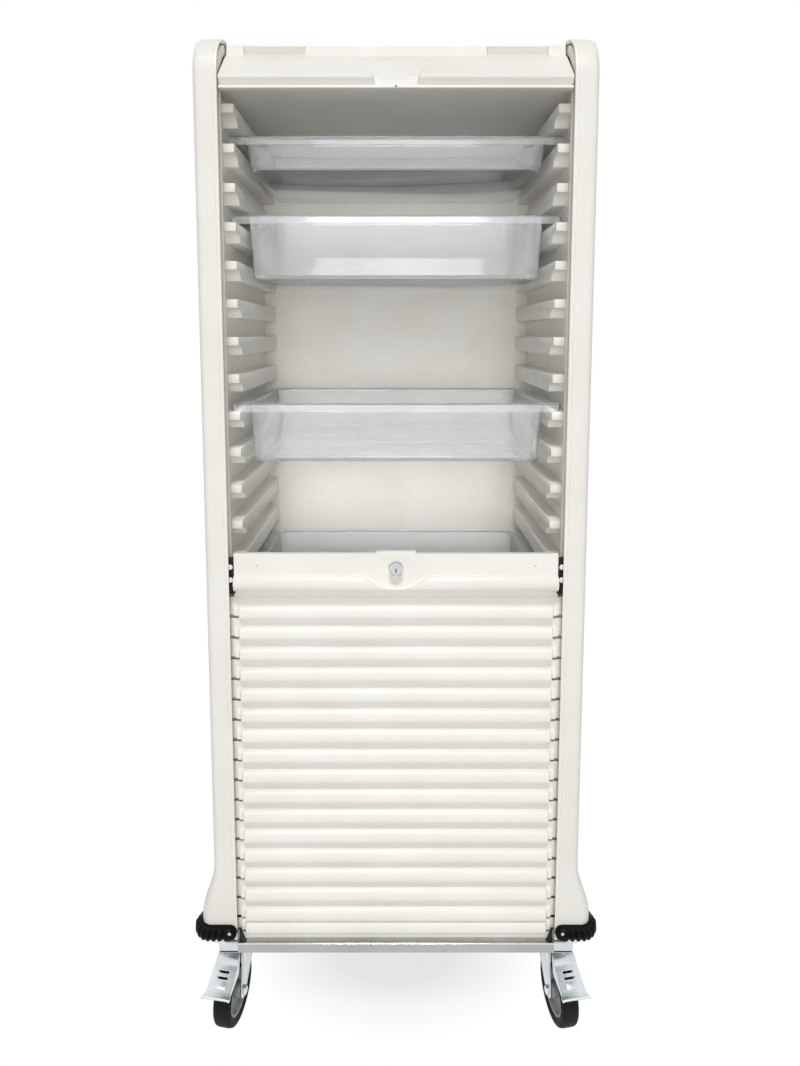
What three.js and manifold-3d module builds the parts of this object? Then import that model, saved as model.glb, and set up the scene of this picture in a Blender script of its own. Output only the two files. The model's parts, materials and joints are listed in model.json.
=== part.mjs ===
// Tall mobile tray cabinet: ivory plastic shells, clear trays on moulded runners, a roller shutter
// that closes upwards from the foot, a stainless base and four braked castors.
// Millimetres. +Z is up, the front faces -Y, and the origin is on the floor under the middle.

import * as THREE from 'three';
import { mergeVertices } from 'three/addons/utils/BufferGeometryUtils.js';
import Module from 'manifold-3d';

const wasm = await Module();
wasm.setup();

// Clearances
const FIT = 0.3; // between fixed neighbours
const SLIP = 0.5; // between a sliding piece and its guide
const OVERLAP = 1; // depth to which solids that are joined, or tools that cut, pass through each other

// Trays, listed from the top: runner level, overall height, gap between the rear rim and the back wall
const TRAY_WIDTH = 600;
const TRAY_DEPTH = 400;
const TRAY_SIDE_FLANGE = 26;
const TRAY_END_FLANGE = 24;
const TRAY_WALL = 2.5;
const TRAY_RIM_HEIGHT = 15;
const TRAY_RIM_RADIUS = 14;
const TRAY_BODY_RADIUS = 22;
const SHALLOW_TRAY = 52;
const DEEP_TRAY = 112;
const TOP_TRAY_GAP = 13;
const SECOND_TRAY_GAP = 3;
const THIRD_TRAY_GAP = 29;
const LOWEST_TRAY_GAP = 33;
const TRAYS = [
  { level: 1, height: SHALLOW_TRAY, gap: TOP_TRAY_GAP },
  { level: 3, height: DEEP_TRAY, gap: SECOND_TRAY_GAP },
  { level: 8, height: DEEP_TRAY, gap: THIRD_TRAY_GAP },
  { level: 13, height: DEEP_TRAY, gap: LOWEST_TRAY_GAP },
];

// Wheels and base, which set the height of everything above
const WHEEL_RADIUS = 62.5;
const CASTOR_HEADROOM = 55; // top of the wheel to the underside of the rails
const RAIL_HEIGHT = 58;
const RAIL_WIDTH = 42;
const RAIL_WALL = 2;
const RAIL_FRONT = 40; // behind the front face
const RAIL_OUTER_REACH = 8; // outer side of a rail, past the inside of the shell
const CROSS_RAIL_HEIGHT = 20;
const CROSS_RAIL_DEPTH = 11; // front ledge, ahead of the shutter
const CROSS_RAIL_WALL = 3;
const LUG_LENGTH = 24; // lugs of the cross rails under the shells
const LUG_DEPTH = 24;

// Side shells: open pans with a lip at the front and the rear
const SHELL_HEIGHT = 1670;
const SHELL_WALL = 5;
const SHELL_LIP = 8;
const SHELL_TOP_LIP = 20;
const LIP_COVER = 10; // how far the front lip reaches past the liner's face
const CORNER_RADIUS = 80;
const SHOULDER_RADIUS = 17;
const FOOT_RADIUS = 10;
const FOOT_CORNER = 20; // upright corners of the foot
const FOOT_SPREAD = 21; // how far the foot stands out from the side
const FOOT_HEIGHT = 58;
const FLARE_HEIGHT = 98;

// Runner liners, ceiling, floor and back wall
const TRACK_DEPTH = 26; // front lip to liner, the channel the shutter runs in
const LINER_WALL = 4;
const LINER_BEAD = 8; // strip at the liner's front edge
const LINER_CAVITY = 28; // liner's face to the inside of the shell
const TRAY_SIDE_PLAY = 12;
const TRAY_REAR_PLAY = 20;
const RUNNER_BEARING = 14; // width of the rim that rests on a runner
const RUNNER_SETBACK = 17; // liner's front edge to the runners
const RUNNER_END_GAP = 3;
const RUNNER_PITCH = 68;
const RUNNER_SLOT = 35; // clear height between two runners
const RUNNER_TAB_HEIGHT = 15;
const RUNNER_TAB_LENGTH = 8;
const RUNNER_SWEEP = 26; // length of the curve from the tab down to full height
const TOP_SLOT = 23; // highest runner to the ceiling
const LOWEST_SLOT = 60; // least height between the lowest runner and the floor
const CEILING_DROP = 90; // top of the shells to the ceiling
const FLOOR_RISE = 24; // underside of the shells to the floor
const FLOOR_THICKNESS = 8;
const REAR_CHANNEL = 49; // back wall to the rear of the shells
const SHEET = 4;

// Roof and headers
const ROOF_DROP = 12;
const ROOF_THICKNESS = 12;
const HEADER_SIDE_PLAY = 2;
const HEADER_DEPTH = 96;
const HEADER_WALL = 7;
const HEADER_LIP_FRONT = 3; // behind the front face
const HEADER_LIP_DROP = 102; // lower edge, where the raised shutter meets it
const HEADER_LIP_HEIGHT = 5;
const HEADER_CREST = { behind: 72, drop: 5 };
const HEADER_BREAK = { behind: 60, drop: 30 };
const HEADER_BROW = { behind: 1, drop: 83 };
const HEADER_UNDERCUT = { behind: 10, drop: 96 };
const KEEPER_BOTTOM_WIDTH = 72;
const KEEPER_TOP_WIDTH = 128;
const KEEPER_HEIGHT = 22;
const GRIP_INNER = 160;
const GRIP_OUTER = 270;
const GRIP_DEPTH = 3;

// Shutter, drawn half open
const BAR_RISE = 666; // floor to the underside of the lead bar
const BAR_HEIGHT = 70;
const BAR_GRIP_HEIGHT = 30; // rounded grip below the flat face
const BAR_SIDE_PLAY = 8;
const BAR_FRONT = 6; // flat face, behind the shells' front
const BAR_BACK = 16;
const BAR_NOSE = -5; // grip, in front of the shells' front
const SCOOP_LEDGE = 5; // what the scoop in the grip leaves below itself
const TONGUE_WIDTH = 72;
const TONGUE_HEIGHT = 4;
const SHOE_WIDTH = 14;
const SHOE_HEIGHT = 64;
const SHOE_DROP = 8; // below the lead bar
const LOCK_RADIUS = 12.5;
const LOCK_DROP = 28; // below the top of the lead bar
const LOCK_FRONT = -7;
const LOCK_TAIL = 1; // behind the lead bar
const CAM_LENGTH = 36;
const CAM_WIDTH = 18;
const CAM_THICKNESS = 3;
const SLAT_PITCH = 40;
const SLAT_LEAD = 16; // lead bar to the first slat
const SLAT_INSET = 1; // slat ends, inside the lead bar's ends
const SLAT_NOSE = 12; // behind the shells' front
const WEB_FRONT = 18;
const WEB_BACK = 22;
const WEB_ENGAGEMENT = 6; // reach of the web behind each front lip
const WEB_END_GAP = 2;
const CURTAIN_RISE = 8; // underside of the shells to the start of the bend
const BEND_RADIUS = 24;
const TAIL_SIDE_PLAY = 10;
const TAIL_GAP = 12; // back wall to the stored curtain
const TAIL_THICKNESS = 6;
const TAIL_RISE = 438; // floor to the end of the stored curtain

// Corner bumpers
const BUMPER_RISE = 10; // underside of the shells to the bumper
const BUMPER_HEIGHT = 28;
const BUMPER_INNER_REACH = 4; // end of the front leg, past the edge of the opening
const BUMPER_SIDE_LEG = 40;
const BUMPER_CREST = 15;
const BUMPER_VALLEY = 11;
const BUMPER_SHOULDER = 5;
const BUMPER_RIBS = 10;

// Castors, drawn about the swivel axis with the wheel and the pedal along +X
const CASTOR_END_INSET = 119; // front face to the swivel
const CASTOR_YAW = 10; // degrees, the wheels of the front pair point outwards
const WHEEL_WIDTH = 36;
const TYRE_DEPTH = 16.5;
const TYRE_SHOULDER = 6;
const TYRE_CROWN = 1.5;
const TYRE_CROWN_INSET = 8;
const TYRE_BEVEL = 3;
const RIM_FLANGE = 6;
const RIM_WEB = 12;
const HUB_WALL = 8;
const HUB_WIDTH = 39;
const TRAIL = 37;
const AXLE_RADIUS = 6;
const AXLE_HEAD_RADIUS = 9;
const AXLE_HEAD = 5;
const FORK_GAP = 42;
const FORK_WALL = 3;
const FORK_BACK = -40;
const FORK_SKIRT = 26; // upright part of the fork's rear edge
const FORK_FRONT = 38;
const FORK_EYE_RADIUS = 14;
const RACE_HEIGHT = 6;
const RACE_GAP = 4; // plate to the top of the fork's race
const RACE_RADIUS = 30;
const RACE_COVER = 4; // how much wider the race on the plate is
const PLATE_LENGTH = 100;
const PLATE_WIDTH = 76;
const PLATE_THICKNESS = 6;
const PEDAL_WIDTH = 54;
const PEDAL_THICKNESS = 3;
const PEDAL_PIVOT = 28;
const PEDAL_PIVOT_DROP = 14; // below the fork's crown
const PEDAL_START = 6; // fork's front to the broad plate
const PEDAL_TONGUE = { back: 6, above: 3, below: 4 }; // about the pivot
// Bends of the broad plate: distance from its start, height over the pivot
const PEDAL_BENDS = [[0, 3], [18, -3], [36, -14], [70, -33], [78, -30]];
const WHEEL_SEGMENTS = 24;

// Finishes
const IVORY_ABS = { color: 0xf1efe8, roughness: 0.38, metalness: 0 };
const LINER_ABS = { color: 0xe2dfd5, roughness: 0.45, metalness: 0 };
const CLEAR_TRAY = { color: 0xdde0e3, roughness: 0.08, metalness: 0, transparent: true, opacity: 0.35 };
const STAINLESS = { color: 0x9c9c9a, roughness: 0.35, metalness: 1 };
const ZINC_PLATE = { color: 0xc6ced1, roughness: 0.3, metalness: 1 };
const CHROME = { color: 0xd9dadb, roughness: 0.1, metalness: 1 };
const BLACK_RUBBER = { color: 0x111111, roughness: 0.6, metalness: 0 };
const BLACK_NYLON = { color: 0x1b1b1b, roughness: 0.5, metalness: 0 };
const TYRE_RUBBER = { color: 0x2f3030, roughness: 0.7, metalness: 0 };
const RIM_PLASTIC = { color: 0x7e8082, roughness: 0.5, metalness: 0 };

// Widths that follow from the tray
const RUNNER_GAP = TRAY_WIDTH - 2 * RUNNER_BEARING;
const LINER_FACE = TRAY_WIDTH / 2 + TRAY_SIDE_PLAY;
const SHELL_INNER = LINER_FACE + LINER_CAVITY;
const WIDTH = 2 * (SHELL_INNER + SHELL_WALL);
const FOOT_WIDTH = WIDTH + 2 * FOOT_SPREAD;
const OPENING_WIDTH = 2 * (LINER_FACE - LIP_COVER);
const BAR_WIDTH = OPENING_WIDTH - 2 * BAR_SIDE_PLAY;
const RAIL_OUTER = SHELL_INNER + RAIL_OUTER_REACH;
const RAIL_INNER = RAIL_OUTER - RAIL_WIDTH;

// Depths, behind the front face
const LINER_FRONT = SHELL_LIP + TRACK_DEPTH;
const RUNNER_FRONT = LINER_FRONT + RUNNER_SETBACK;
const INNER_DEPTH = RUNNER_FRONT + TRAY_DEPTH + TRAY_REAR_PLAY;
const DEPTH = INNER_DEPTH + REAR_CHANNEL;
const fromFront = (distance) => distance - DEPTH / 2;

// Heights, from the floor
const RAIL_BOTTOM = 2 * WHEEL_RADIUS + CASTOR_HEADROOM;
const SHELL_BOTTOM = RAIL_BOTTOM + RAIL_HEIGHT;
const FLARE_END = SHELL_BOTTOM + FOOT_HEIGHT;
const HEIGHT = SHELL_BOTTOM + SHELL_HEIGHT;
const FLOOR = SHELL_BOTTOM + FLOOR_RISE;
const CEILING = HEIGHT - CEILING_DROP;
const HEADER_LIP = HEIGHT - HEADER_LIP_DROP;
const RUNNER_HEIGHT = RUNNER_PITCH - RUNNER_SLOT;
const runnerTop = (level) => CEILING - TOP_SLOT - level * RUNNER_PITCH;
const RUNNER_LEVELS = 1 + Math.floor((runnerTop(0) - RUNNER_HEIGHT - LOWEST_SLOT - FLOOR) / RUNNER_PITCH);
const UPPER_LEVELS = Math.ceil(RUNNER_LEVELS / 2);
const BAR_BOTTOM = FLOOR + BAR_RISE;
const BAR_TOP = BAR_BOTTOM + BAR_HEIGHT;
const LOCK_HEIGHT = BAR_TOP - LOCK_DROP;
const SHOE_BOTTOM = BAR_BOTTOM - SHOE_DROP;
const CURTAIN_BOTTOM = SHELL_BOTTOM + CURTAIN_RISE;
const RACE_TOP = RAIL_BOTTOM - PLATE_THICKNESS - RACE_GAP;
const FORK_TOP = RACE_TOP - RACE_HEIGHT;

// Points on an arc, in degrees, both ends included
function arc(centreU, centreV, radius, from, to, steps) {
  return Array.from({ length: steps + 1 }, (_, i) => {
    const angle = THREE.MathUtils.degToRad(from + ((to - from) * i) / steps);
    return [centreU + radius * Math.cos(angle), centreV + radius * Math.sin(angle)];
  });
}

function rectangle(lowU, lowV, highU, highV) {
  return [[lowU, lowV], [highU, lowV], [highU, highV], [lowU, highV]];
}

// A rectangle with its lower and its upper corners rounded, counter-clockwise
function roundedRectangle(lowU, lowV, highU, highV, lowRadius, highRadius, steps) {
  return [
    ...arc(lowU + lowRadius, lowV + lowRadius, lowRadius, 180, 270, steps),
    ...arc(highU - lowRadius, lowV + lowRadius, lowRadius, 270, 360, steps),
    ...arc(highU - highRadius, highV - highRadius, highRadius, 0, 90, steps),
    ...arc(lowU + highRadius, highV - highRadius, highRadius, 90, 180, steps),
  ];
}

function weld(geometry) {
  geometry.deleteAttribute('normal');
  geometry.deleteAttribute('uv');
  return mergeVertices(geometry, 1e-4);
}

// The plane an outline is drawn in, by the axis it is extruded along: x takes (y, z), y takes (x, z)
const PLANES = {
  x: new THREE.Matrix4().set(0, 0, 1, 0, 1, 0, 0, 0, 0, 1, 0, 0, 0, 0, 0, 1),
  y: new THREE.Matrix4().set(1, 0, 0, 0, 0, 0, -1, 0, 0, 1, 0, 0, 0, 0, 0, 1),
  z: new THREE.Matrix4(),
};

// An outline, with an optional hole, extruded along an axis from low to high
function prism(axis, outline, low, high, hole) {
  const toVectors = (points) => points.map(([u, v]) => new THREE.Vector2(u, v));
  const shape = new THREE.Shape(toVectors(outline));
  if (hole) shape.holes.push(new THREE.Path(toVectors(hole)));
  const geometry = new THREE.ExtrudeGeometry(shape, { depth: high - low, bevelEnabled: false });
  geometry.translate(0, 0, axis === 'y' ? -high : low);
  geometry.applyMatrix4(PLANES[axis]);
  return weld(geometry);
}

function box(lowX, highX, lowY, highY, lowZ, highZ) {
  return prism('z', rectangle(lowX, lowY, highX, highY), lowZ, highZ);
}

// A profile of (radius, along) points turned about the Y axis
function turned(profile, segments) {
  const points = profile.map(([radius, along]) => new THREE.Vector2(radius, along));
  return weld(new THREE.LatheGeometry(points, segments));
}

function toSolid(geometry) {
  const vertProperties = new Float32Array(geometry.attributes.position.array);
  const triVerts = new Uint32Array(geometry.index.array);
  return new wasm.Manifold(new wasm.Mesh({ numProp: 3, vertProperties, triVerts }));
}

function toGeometry(solid) {
  const { vertProperties, triVerts } = solid.getMesh();
  const geometry = new THREE.BufferGeometry();
  geometry.setAttribute('position', new THREE.BufferAttribute(vertProperties, 3));
  geometry.setIndex(new THREE.BufferAttribute(triVerts, 1));
  return geometry;
}

function join(...geometries) {
  return toGeometry(geometries.map(toSolid).reduce((whole, piece) => whole.add(piece)));
}

function cut(geometry, ...tools) {
  return toGeometry(tools.map(toSolid).reduce((rest, tool) => rest.subtract(tool), toSolid(geometry)));
}

function common(first, second) {
  return toGeometry(toSolid(first).intersect(toSolid(second)));
}

// A mirror image, with each triangle turned over so that it still faces out
function mirrored(geometry, axis) {
  const twin = geometry.clone();
  twin.scale(axis === 'x' ? -1 : 1, axis === 'y' ? -1 : 1, 1);
  const corners = twin.index.array;
  for (let i = 0; i < corners.length; i += 3) {
    [corners[i + 1], corners[i + 2]] = [corners[i + 2], corners[i + 1]];
  }
  return twin;
}

function node(name, geometry, finish) {
  const mesh = new THREE.Mesh(geometry, new THREE.MeshStandardMaterial(finish));
  mesh.name = name;
  return mesh;
}

const cabinet = new THREE.Group();
cabinet.name = 'tray_cabinet';

function addPair(name, rightGeometry, finish) {
  cabinet.add(node(`${name}_right`, rightGeometry, finish));
  cabinet.add(node(`${name}_left`, mirrored(rightGeometry, 'x'), finish));
}

// Right-hand shell: its front view, side view and plan, extruded and crossed, then hollowed from inside
function sideShell() {
  const flare = Array.from({ length: 6 }, (_, i) => {
    const share = i / 5;
    const width = WIDTH + (FOOT_WIDTH - WIDTH) * 0.5 * (1 + Math.cos(Math.PI * share));
    return [width / 2, FLARE_END + FLARE_HEIGHT * share];
  });
  const frontView = [
    [OPENING_WIDTH / 2, SHELL_BOTTOM],
    [FOOT_WIDTH / 2, SHELL_BOTTOM],
    ...flare,
    ...arc(WIDTH / 2 - SHOULDER_RADIUS, HEIGHT - SHOULDER_RADIUS, SHOULDER_RADIUS, 0, 90, 5),
    [OPENING_WIDTH / 2, HEIGHT],
  ];
  const front = fromFront(0);
  const sideView = roundedRectangle(front, SHELL_BOTTOM, -front, HEIGHT, FOOT_RADIUS, CORNER_RADIUS, 7);
  const hollowFront = fromFront(SHELL_LIP);
  const hollowView = roundedRectangle(
    hollowFront, SHELL_BOTTOM + SHELL_LIP, -hollowFront, HEIGHT - SHELL_TOP_LIP,
    FOOT_RADIUS, CORNER_RADIUS - SHELL_TOP_LIP, 5,
  );
  const inside = OPENING_WIDTH / 2 - OVERLAP;
  const cornerX = FOOT_WIDTH / 2 - FOOT_CORNER;
  const plan = [
    [inside, front],
    ...arc(cornerX, front + FOOT_CORNER, FOOT_CORNER, 270, 360, 5),
    ...arc(cornerX, -front - FOOT_CORNER, FOOT_CORNER, 0, 90, 5),
    [inside, -front],
  ];
  const crossed = common(
    prism('y', frontView, front, -front),
    prism('x', sideView, inside, FOOT_WIDTH / 2 + OVERLAP),
  );
  const block = common(crossed, prism('z', plan, SHELL_BOTTOM, HEIGHT));
  return cut(block, prism('x', hollowView, inside, SHELL_INNER));
}

// One runner from the side: a flat top, a short tab in front, then a sweep down to full height
function runnerOutline(level) {
  const top = runnerTop(level);
  const tabEnd = fromFront(RUNNER_FRONT + RUNNER_TAB_LENGTH);
  const drop = RUNNER_HEIGHT - RUNNER_TAB_HEIGHT;
  const sweep = arc(tabEnd, top - RUNNER_HEIGHT, 1, 90, 0, 4).map(([u, v]) => [
    tabEnd + (u - tabEnd) * RUNNER_SWEEP,
    top - RUNNER_HEIGHT + (v - top + RUNNER_HEIGHT) * drop,
  ]);
  const back = fromFront(INNER_DEPTH - RUNNER_END_GAP);
  return [
    [fromFront(RUNNER_FRONT), top],
    [fromFront(RUNNER_FRONT), top - RUNNER_TAB_HEIGHT],
    ...sweep,
    [back, top - RUNNER_HEIGHT],
    [back, top],
  ];
}

// Right-hand liner section: a thin wall with returns to the shell and a row of runners
function runnerLiner(firstLevel, levels, lowZ, highZ) {
  const front = fromFront(LINER_FRONT);
  const back = fromFront(INNER_DEPTH - FIT);
  const outer = LINER_FACE + LINER_WALL;
  const reach = SHELL_INNER - FIT;
  const plan = [
    [LINER_FACE - LINER_BEAD, front],
    [reach, front],
    [reach, front + LINER_WALL],
    [outer, front + LINER_WALL],
    [outer, back - LINER_WALL],
    [reach, back - LINER_WALL],
    [reach, back],
    [LINER_FACE, back],
    [LINER_FACE, front + LINER_WALL],
    [LINER_FACE - LINER_BEAD, front + LINER_WALL],
  ];
  const runners = Array.from({ length: levels }, (_, i) =>
    prism('x', runnerOutline(firstLevel + i), RUNNER_GAP / 2, LINER_FACE + OVERLAP));
  return join(prism('z', plan, lowZ, highZ), ...runners);
}

function addInterior() {
  const seam = runnerTop(UPPER_LEVELS) + RUNNER_SLOT / 2;
  const upper = runnerLiner(0, UPPER_LEVELS, seam + FIT, CEILING - FIT);
  const lower = runnerLiner(UPPER_LEVELS, RUNNER_LEVELS - UPPER_LEVELS, FLOOR + FIT, seam);
  addPair('liner_upper', upper, LINER_ABS);
  addPair('liner_lower', lower, LINER_ABS);
  const side = LINER_FACE - FIT;
  const front = fromFront(LINER_FRONT);
  const back = fromFront(INNER_DEPTH);
  const behindBead = front + LINER_WALL + FIT;
  const floor = box(-side, side, behindBead, back - FIT, FLOOR - FLOOR_THICKNESS, FLOOR);
  const ceiling = box(-side, side, front, back - FIT, CEILING, CEILING + SHEET);
  const wide = SHELL_INNER - FIT;
  const backWall = box(-wide, wide, back, back + SHEET, FLOOR - FLOOR_THICKNESS, CEILING + SHEET);
  const coverBack = -fromFront(SHELL_LIP) - FIT;
  const rearCover = box(
    -wide, wide, coverBack - SHEET, coverBack, SHELL_BOTTOM + SHELL_TOP_LIP, HEADER_LIP - FIT,
  );
  cabinet.add(node('inner_floor', floor, LINER_ABS));
  cabinet.add(node('inner_ceiling', ceiling, LINER_ABS));
  cabinet.add(node('back_wall', backWall, LINER_ABS));
  cabinet.add(node('rear_cover', rearCover, IVORY_ABS));
}

// Headers: thin aprons that lean back over the rounded top corners, with an undercut above the lip
function headerShell() {
  const outer = [HEADER_CREST, HEADER_BREAK, HEADER_BROW, HEADER_UNDERCUT];
  const inner = [
    [HEADER_UNDERCUT.behind + HEADER_WALL, HEADER_LIP_DROP],
    [HEADER_BROW.behind + HEADER_WALL, HEADER_BROW.drop],
    [HEADER_BREAK.behind + HEADER_WALL, HEADER_BREAK.drop + HEADER_WALL / 2],
    [HEADER_CREST.behind + HEADER_WALL / 2, HEADER_CREST.drop + HEADER_WALL],
    [HEADER_DEPTH, HEADER_CREST.drop + HEADER_WALL],
  ];
  const profile = [
    [HEADER_DEPTH, HEADER_CREST.drop],
    ...outer.map(({ behind, drop }) => [behind, drop]),
    [HEADER_LIP_FRONT, HEADER_LIP_DROP - HEADER_LIP_HEIGHT],
    [HEADER_LIP_FRONT, HEADER_LIP_DROP],
    ...inner,
  ].map(([behind, drop]) => [fromFront(behind), HEIGHT - drop]);
  const half = OPENING_WIDTH / 2 - HEADER_SIDE_PLAY;
  return prism('x', profile, -half, half);
}

// The flat pad in the middle of the front header that the raised shutter's lock catches behind
function lockKeeper() {
  const bottom = KEEPER_BOTTOM_WIDTH / 2;
  const spread = (KEEPER_TOP_WIDTH - KEEPER_BOTTOM_WIDTH) / 2;
  const flank = Array.from({ length: 6 }, (_, i) => {
    const share = i / 5;
    return [bottom + spread * share * share, HEADER_LIP + KEEPER_HEIGHT * share];
  });
  const outline = [...flank, ...flank.map(([x, z]) => [-x, z]).reverse()];
  return prism('y', outline, fromFront(HEADER_LIP_FRONT), fromFront(HEADER_UNDERCUT.behind + OVERLAP));
}

// A shallow long recess along the sloped band between the header's break and its crest
function gripRecess(lowX, highX) {
  const along = (share, depth) => [
    fromFront(HEADER_BREAK.behind + (HEADER_CREST.behind - HEADER_BREAK.behind) * share + depth),
    HEIGHT - HEADER_BREAK.drop + (HEADER_BREAK.drop - HEADER_CREST.drop) * share - depth,
  ];
  const outline = [
    along(0.25, GRIP_DEPTH),
    along(0.75, GRIP_DEPTH),
    along(0.75, -HEADER_WALL),
    along(0.25, -HEADER_WALL),
  ];
  return prism('x', outline, lowX, highX);
}

function addTop() {
  const shell = headerShell();
  const grips = [gripRecess(GRIP_INNER, GRIP_OUTER), gripRecess(-GRIP_OUTER, -GRIP_INNER)];
  const roofSide = OPENING_WIDTH / 2 - FIT;
  const roofFront = fromFront(HEADER_DEPTH) + FIT;
  const roofTop = HEIGHT - ROOF_DROP;
  const roof = box(-roofSide, roofSide, roofFront, -roofFront, roofTop - ROOF_THICKNESS, roofTop);
  cabinet.add(node('roof', roof, IVORY_ABS));
  cabinet.add(node('front_header', cut(join(shell, lockKeeper()), ...grips), IVORY_ABS));
  cabinet.add(node('rear_header', mirrored(shell, 'y'), IVORY_ABS));
}

// Lead bar: a flat face over a rounded grip, scooped in the middle around the lock
function leadBar() {
  const half = BAR_WIDTH / 2;
  const reach = BAR_FRONT - BAR_NOSE;
  const grip = arc(0, 0, 1, 90, 270, 6).map(([u, v]) => [
    fromFront(BAR_FRONT + u * reach),
    BAR_BOTTOM + BAR_GRIP_HEIGHT * (0.5 + 0.5 * v),
  ]);
  const profile = [
    [fromFront(BAR_BACK), BAR_TOP],
    [fromFront(BAR_FRONT), BAR_TOP],
    ...grip,
    [fromFront(BAR_BACK), BAR_BOTTOM],
  ];
  const tongue = box(
    -TONGUE_WIDTH / 2, TONGUE_WIDTH / 2, fromFront(BAR_FRONT), fromFront(BAR_BACK),
    BAR_TOP - OVERLAP, BAR_TOP + TONGUE_HEIGHT,
  );
  const scoopTop = BAR_BOTTOM + BAR_GRIP_HEIGHT + OVERLAP;
  const scoopBottom = BAR_BOTTOM + SCOOP_LEDGE;
  const scoop = [
    [-KEEPER_TOP_WIDTH / 2, scoopTop],
    ...arc(0, scoopTop, 1, 225, 315, 6).map(([u, v]) => [
      u * KEEPER_BOTTOM_WIDTH * 0.7,
      scoopTop + (v - scoopTop) * (scoopTop - scoopBottom),
    ]),
    [KEEPER_TOP_WIDTH / 2, scoopTop],
  ];
  const lockHole = arc(0, LOCK_HEIGHT, LOCK_RADIUS + FIT, 0, 345, 23);
  return cut(
    join(prism('x', profile, -half, half), tongue),
    prism('y', scoop, fromFront(BAR_NOSE - OVERLAP), fromFront(BAR_FRONT)),
    prism('y', lockHole, fromFront(BAR_NOSE), fromFront(BAR_BACK + OVERLAP)),
  );
}

function lockCam() {
  const half = CAM_WIDTH / 2;
  const outline = [
    ...arc(0, LOCK_HEIGHT, half, 90, 270, 6),
    [CAM_LENGTH, LOCK_HEIGHT - half],
    [CAM_LENGTH, LOCK_HEIGHT + half],
  ];
  const front = BAR_BACK + LOCK_TAIL + FIT;
  return prism('y', outline, fromFront(front), fromFront(front + CAM_THICKNESS));
}

// One slat from its top edge down: a recess, then a face that swells to a nose and turns under
function slatOutline(top) {
  const swell = WEB_FRONT - SLAT_NOSE;
  return [
    [WEB_FRONT, top],
    [WEB_FRONT, top - SLAT_PITCH * 0.38],
    [SLAT_NOSE + swell * 0.3, top - SLAT_PITCH * 0.46],
    [SLAT_NOSE, top - SLAT_PITCH * 0.56],
    [SLAT_NOSE, top - SLAT_PITCH * 0.88],
    [SLAT_NOSE + swell * 0.5, top - SLAT_PITCH * 0.99],
  ];
}

// Front run of the curtain: slats down to the bend on one web, whose edges run in the side channels
function frontCurtain() {
  const top = BAR_BOTTOM - SLIP;
  const firstSlat = BAR_BOTTOM - SLAT_LEAD;
  const slatCount = Math.ceil((firstSlat - CURTAIN_BOTTOM) / SLAT_PITCH);
  const slats = Array.from({ length: slatCount }, (_, i) => slatOutline(firstSlat - i * SLAT_PITCH));
  const end = firstSlat - slatCount * SLAT_PITCH;
  const profile = [
    [WEB_BACK, top],
    [WEB_FRONT, top],
    ...slats.flat(),
    [WEB_FRONT, end],
    [WEB_BACK, end],
  ].map(([distance, height]) => [fromFront(distance), height]);
  const half = BAR_WIDTH / 2 - SLAT_INSET;
  const reach = OPENING_WIDTH / 2 + WEB_ENGAGEMENT;
  const front = fromFront((WEB_FRONT + WEB_BACK) / 2);
  const back = fromFront(WEB_BACK);
  const web = box(-reach, reach, front, back, CURTAIN_BOTTOM + WEB_END_GAP, SHOE_BOTTOM - SLIP);
  const belowBend = box(-half - OVERLAP, half + OVERLAP, fromFront(0), back + OVERLAP, 0, CURTAIN_BOTTOM);
  return join(cut(prism('x', profile, -half, half), belowBend), web);
}

// Stored run of the curtain: round the front bend, back under the floor and up behind the back wall
function storedCurtain() {
  const start = CURTAIN_BOTTOM - FIT;
  const outer = BEND_RADIUS + TAIL_THICKNESS / 2;
  const inner = BEND_RADIUS - TAIL_THICKNESS / 2;
  const frontCentre = fromFront(SLAT_NOSE + outer);
  const rearCentre = fromFront(INNER_DEPTH + SHEET + TAIL_GAP - inner);
  const tailTop = FLOOR + TAIL_RISE;
  const profile = [
    ...arc(frontCentre, start, outer, 180, 270, 6),
    ...arc(rearCentre, start, outer, 270, 360, 6),
    [rearCentre + outer, tailTop],
    [rearCentre + inner, tailTop],
    ...arc(rearCentre, start, inner, 360, 270, 6),
    ...arc(frontCentre, start, inner, 270, 180, 6),
  ];
  const half = RAIL_INNER - TAIL_SIDE_PLAY;
  return prism('x', profile, -half, half);
}

function addShutter() {
  const shoeInner = BAR_WIDTH / 2 + FIT;
  const shoeFront = fromFront(SHELL_LIP + SLIP);
  const shoeBack = fromFront(LINER_FRONT - SLIP);
  const shoe = box(
    shoeInner, shoeInner + SHOE_WIDTH, shoeFront, shoeBack, SHOE_BOTTOM, SHOE_BOTTOM + SHOE_HEIGHT,
  );
  const barrel = arc(0, LOCK_HEIGHT, LOCK_RADIUS, 0, 345, 23);
  const lock = prism('y', barrel, fromFront(LOCK_FRONT), fromFront(BAR_BACK + LOCK_TAIL));
  cabinet.add(node('shutter_bar', leadBar(), IVORY_ABS));
  addPair('shutter_shoe', shoe, BLACK_NYLON);
  cabinet.add(node('lock_cylinder', lock, CHROME));
  cabinet.add(node('lock_cam', lockCam(), ZINC_PLATE));
  cabinet.add(node('shutter_curtain', frontCurtain(), IVORY_ABS));
  cabinet.add(node('shutter_stored', storedCurtain(), IVORY_ABS));
}

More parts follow.
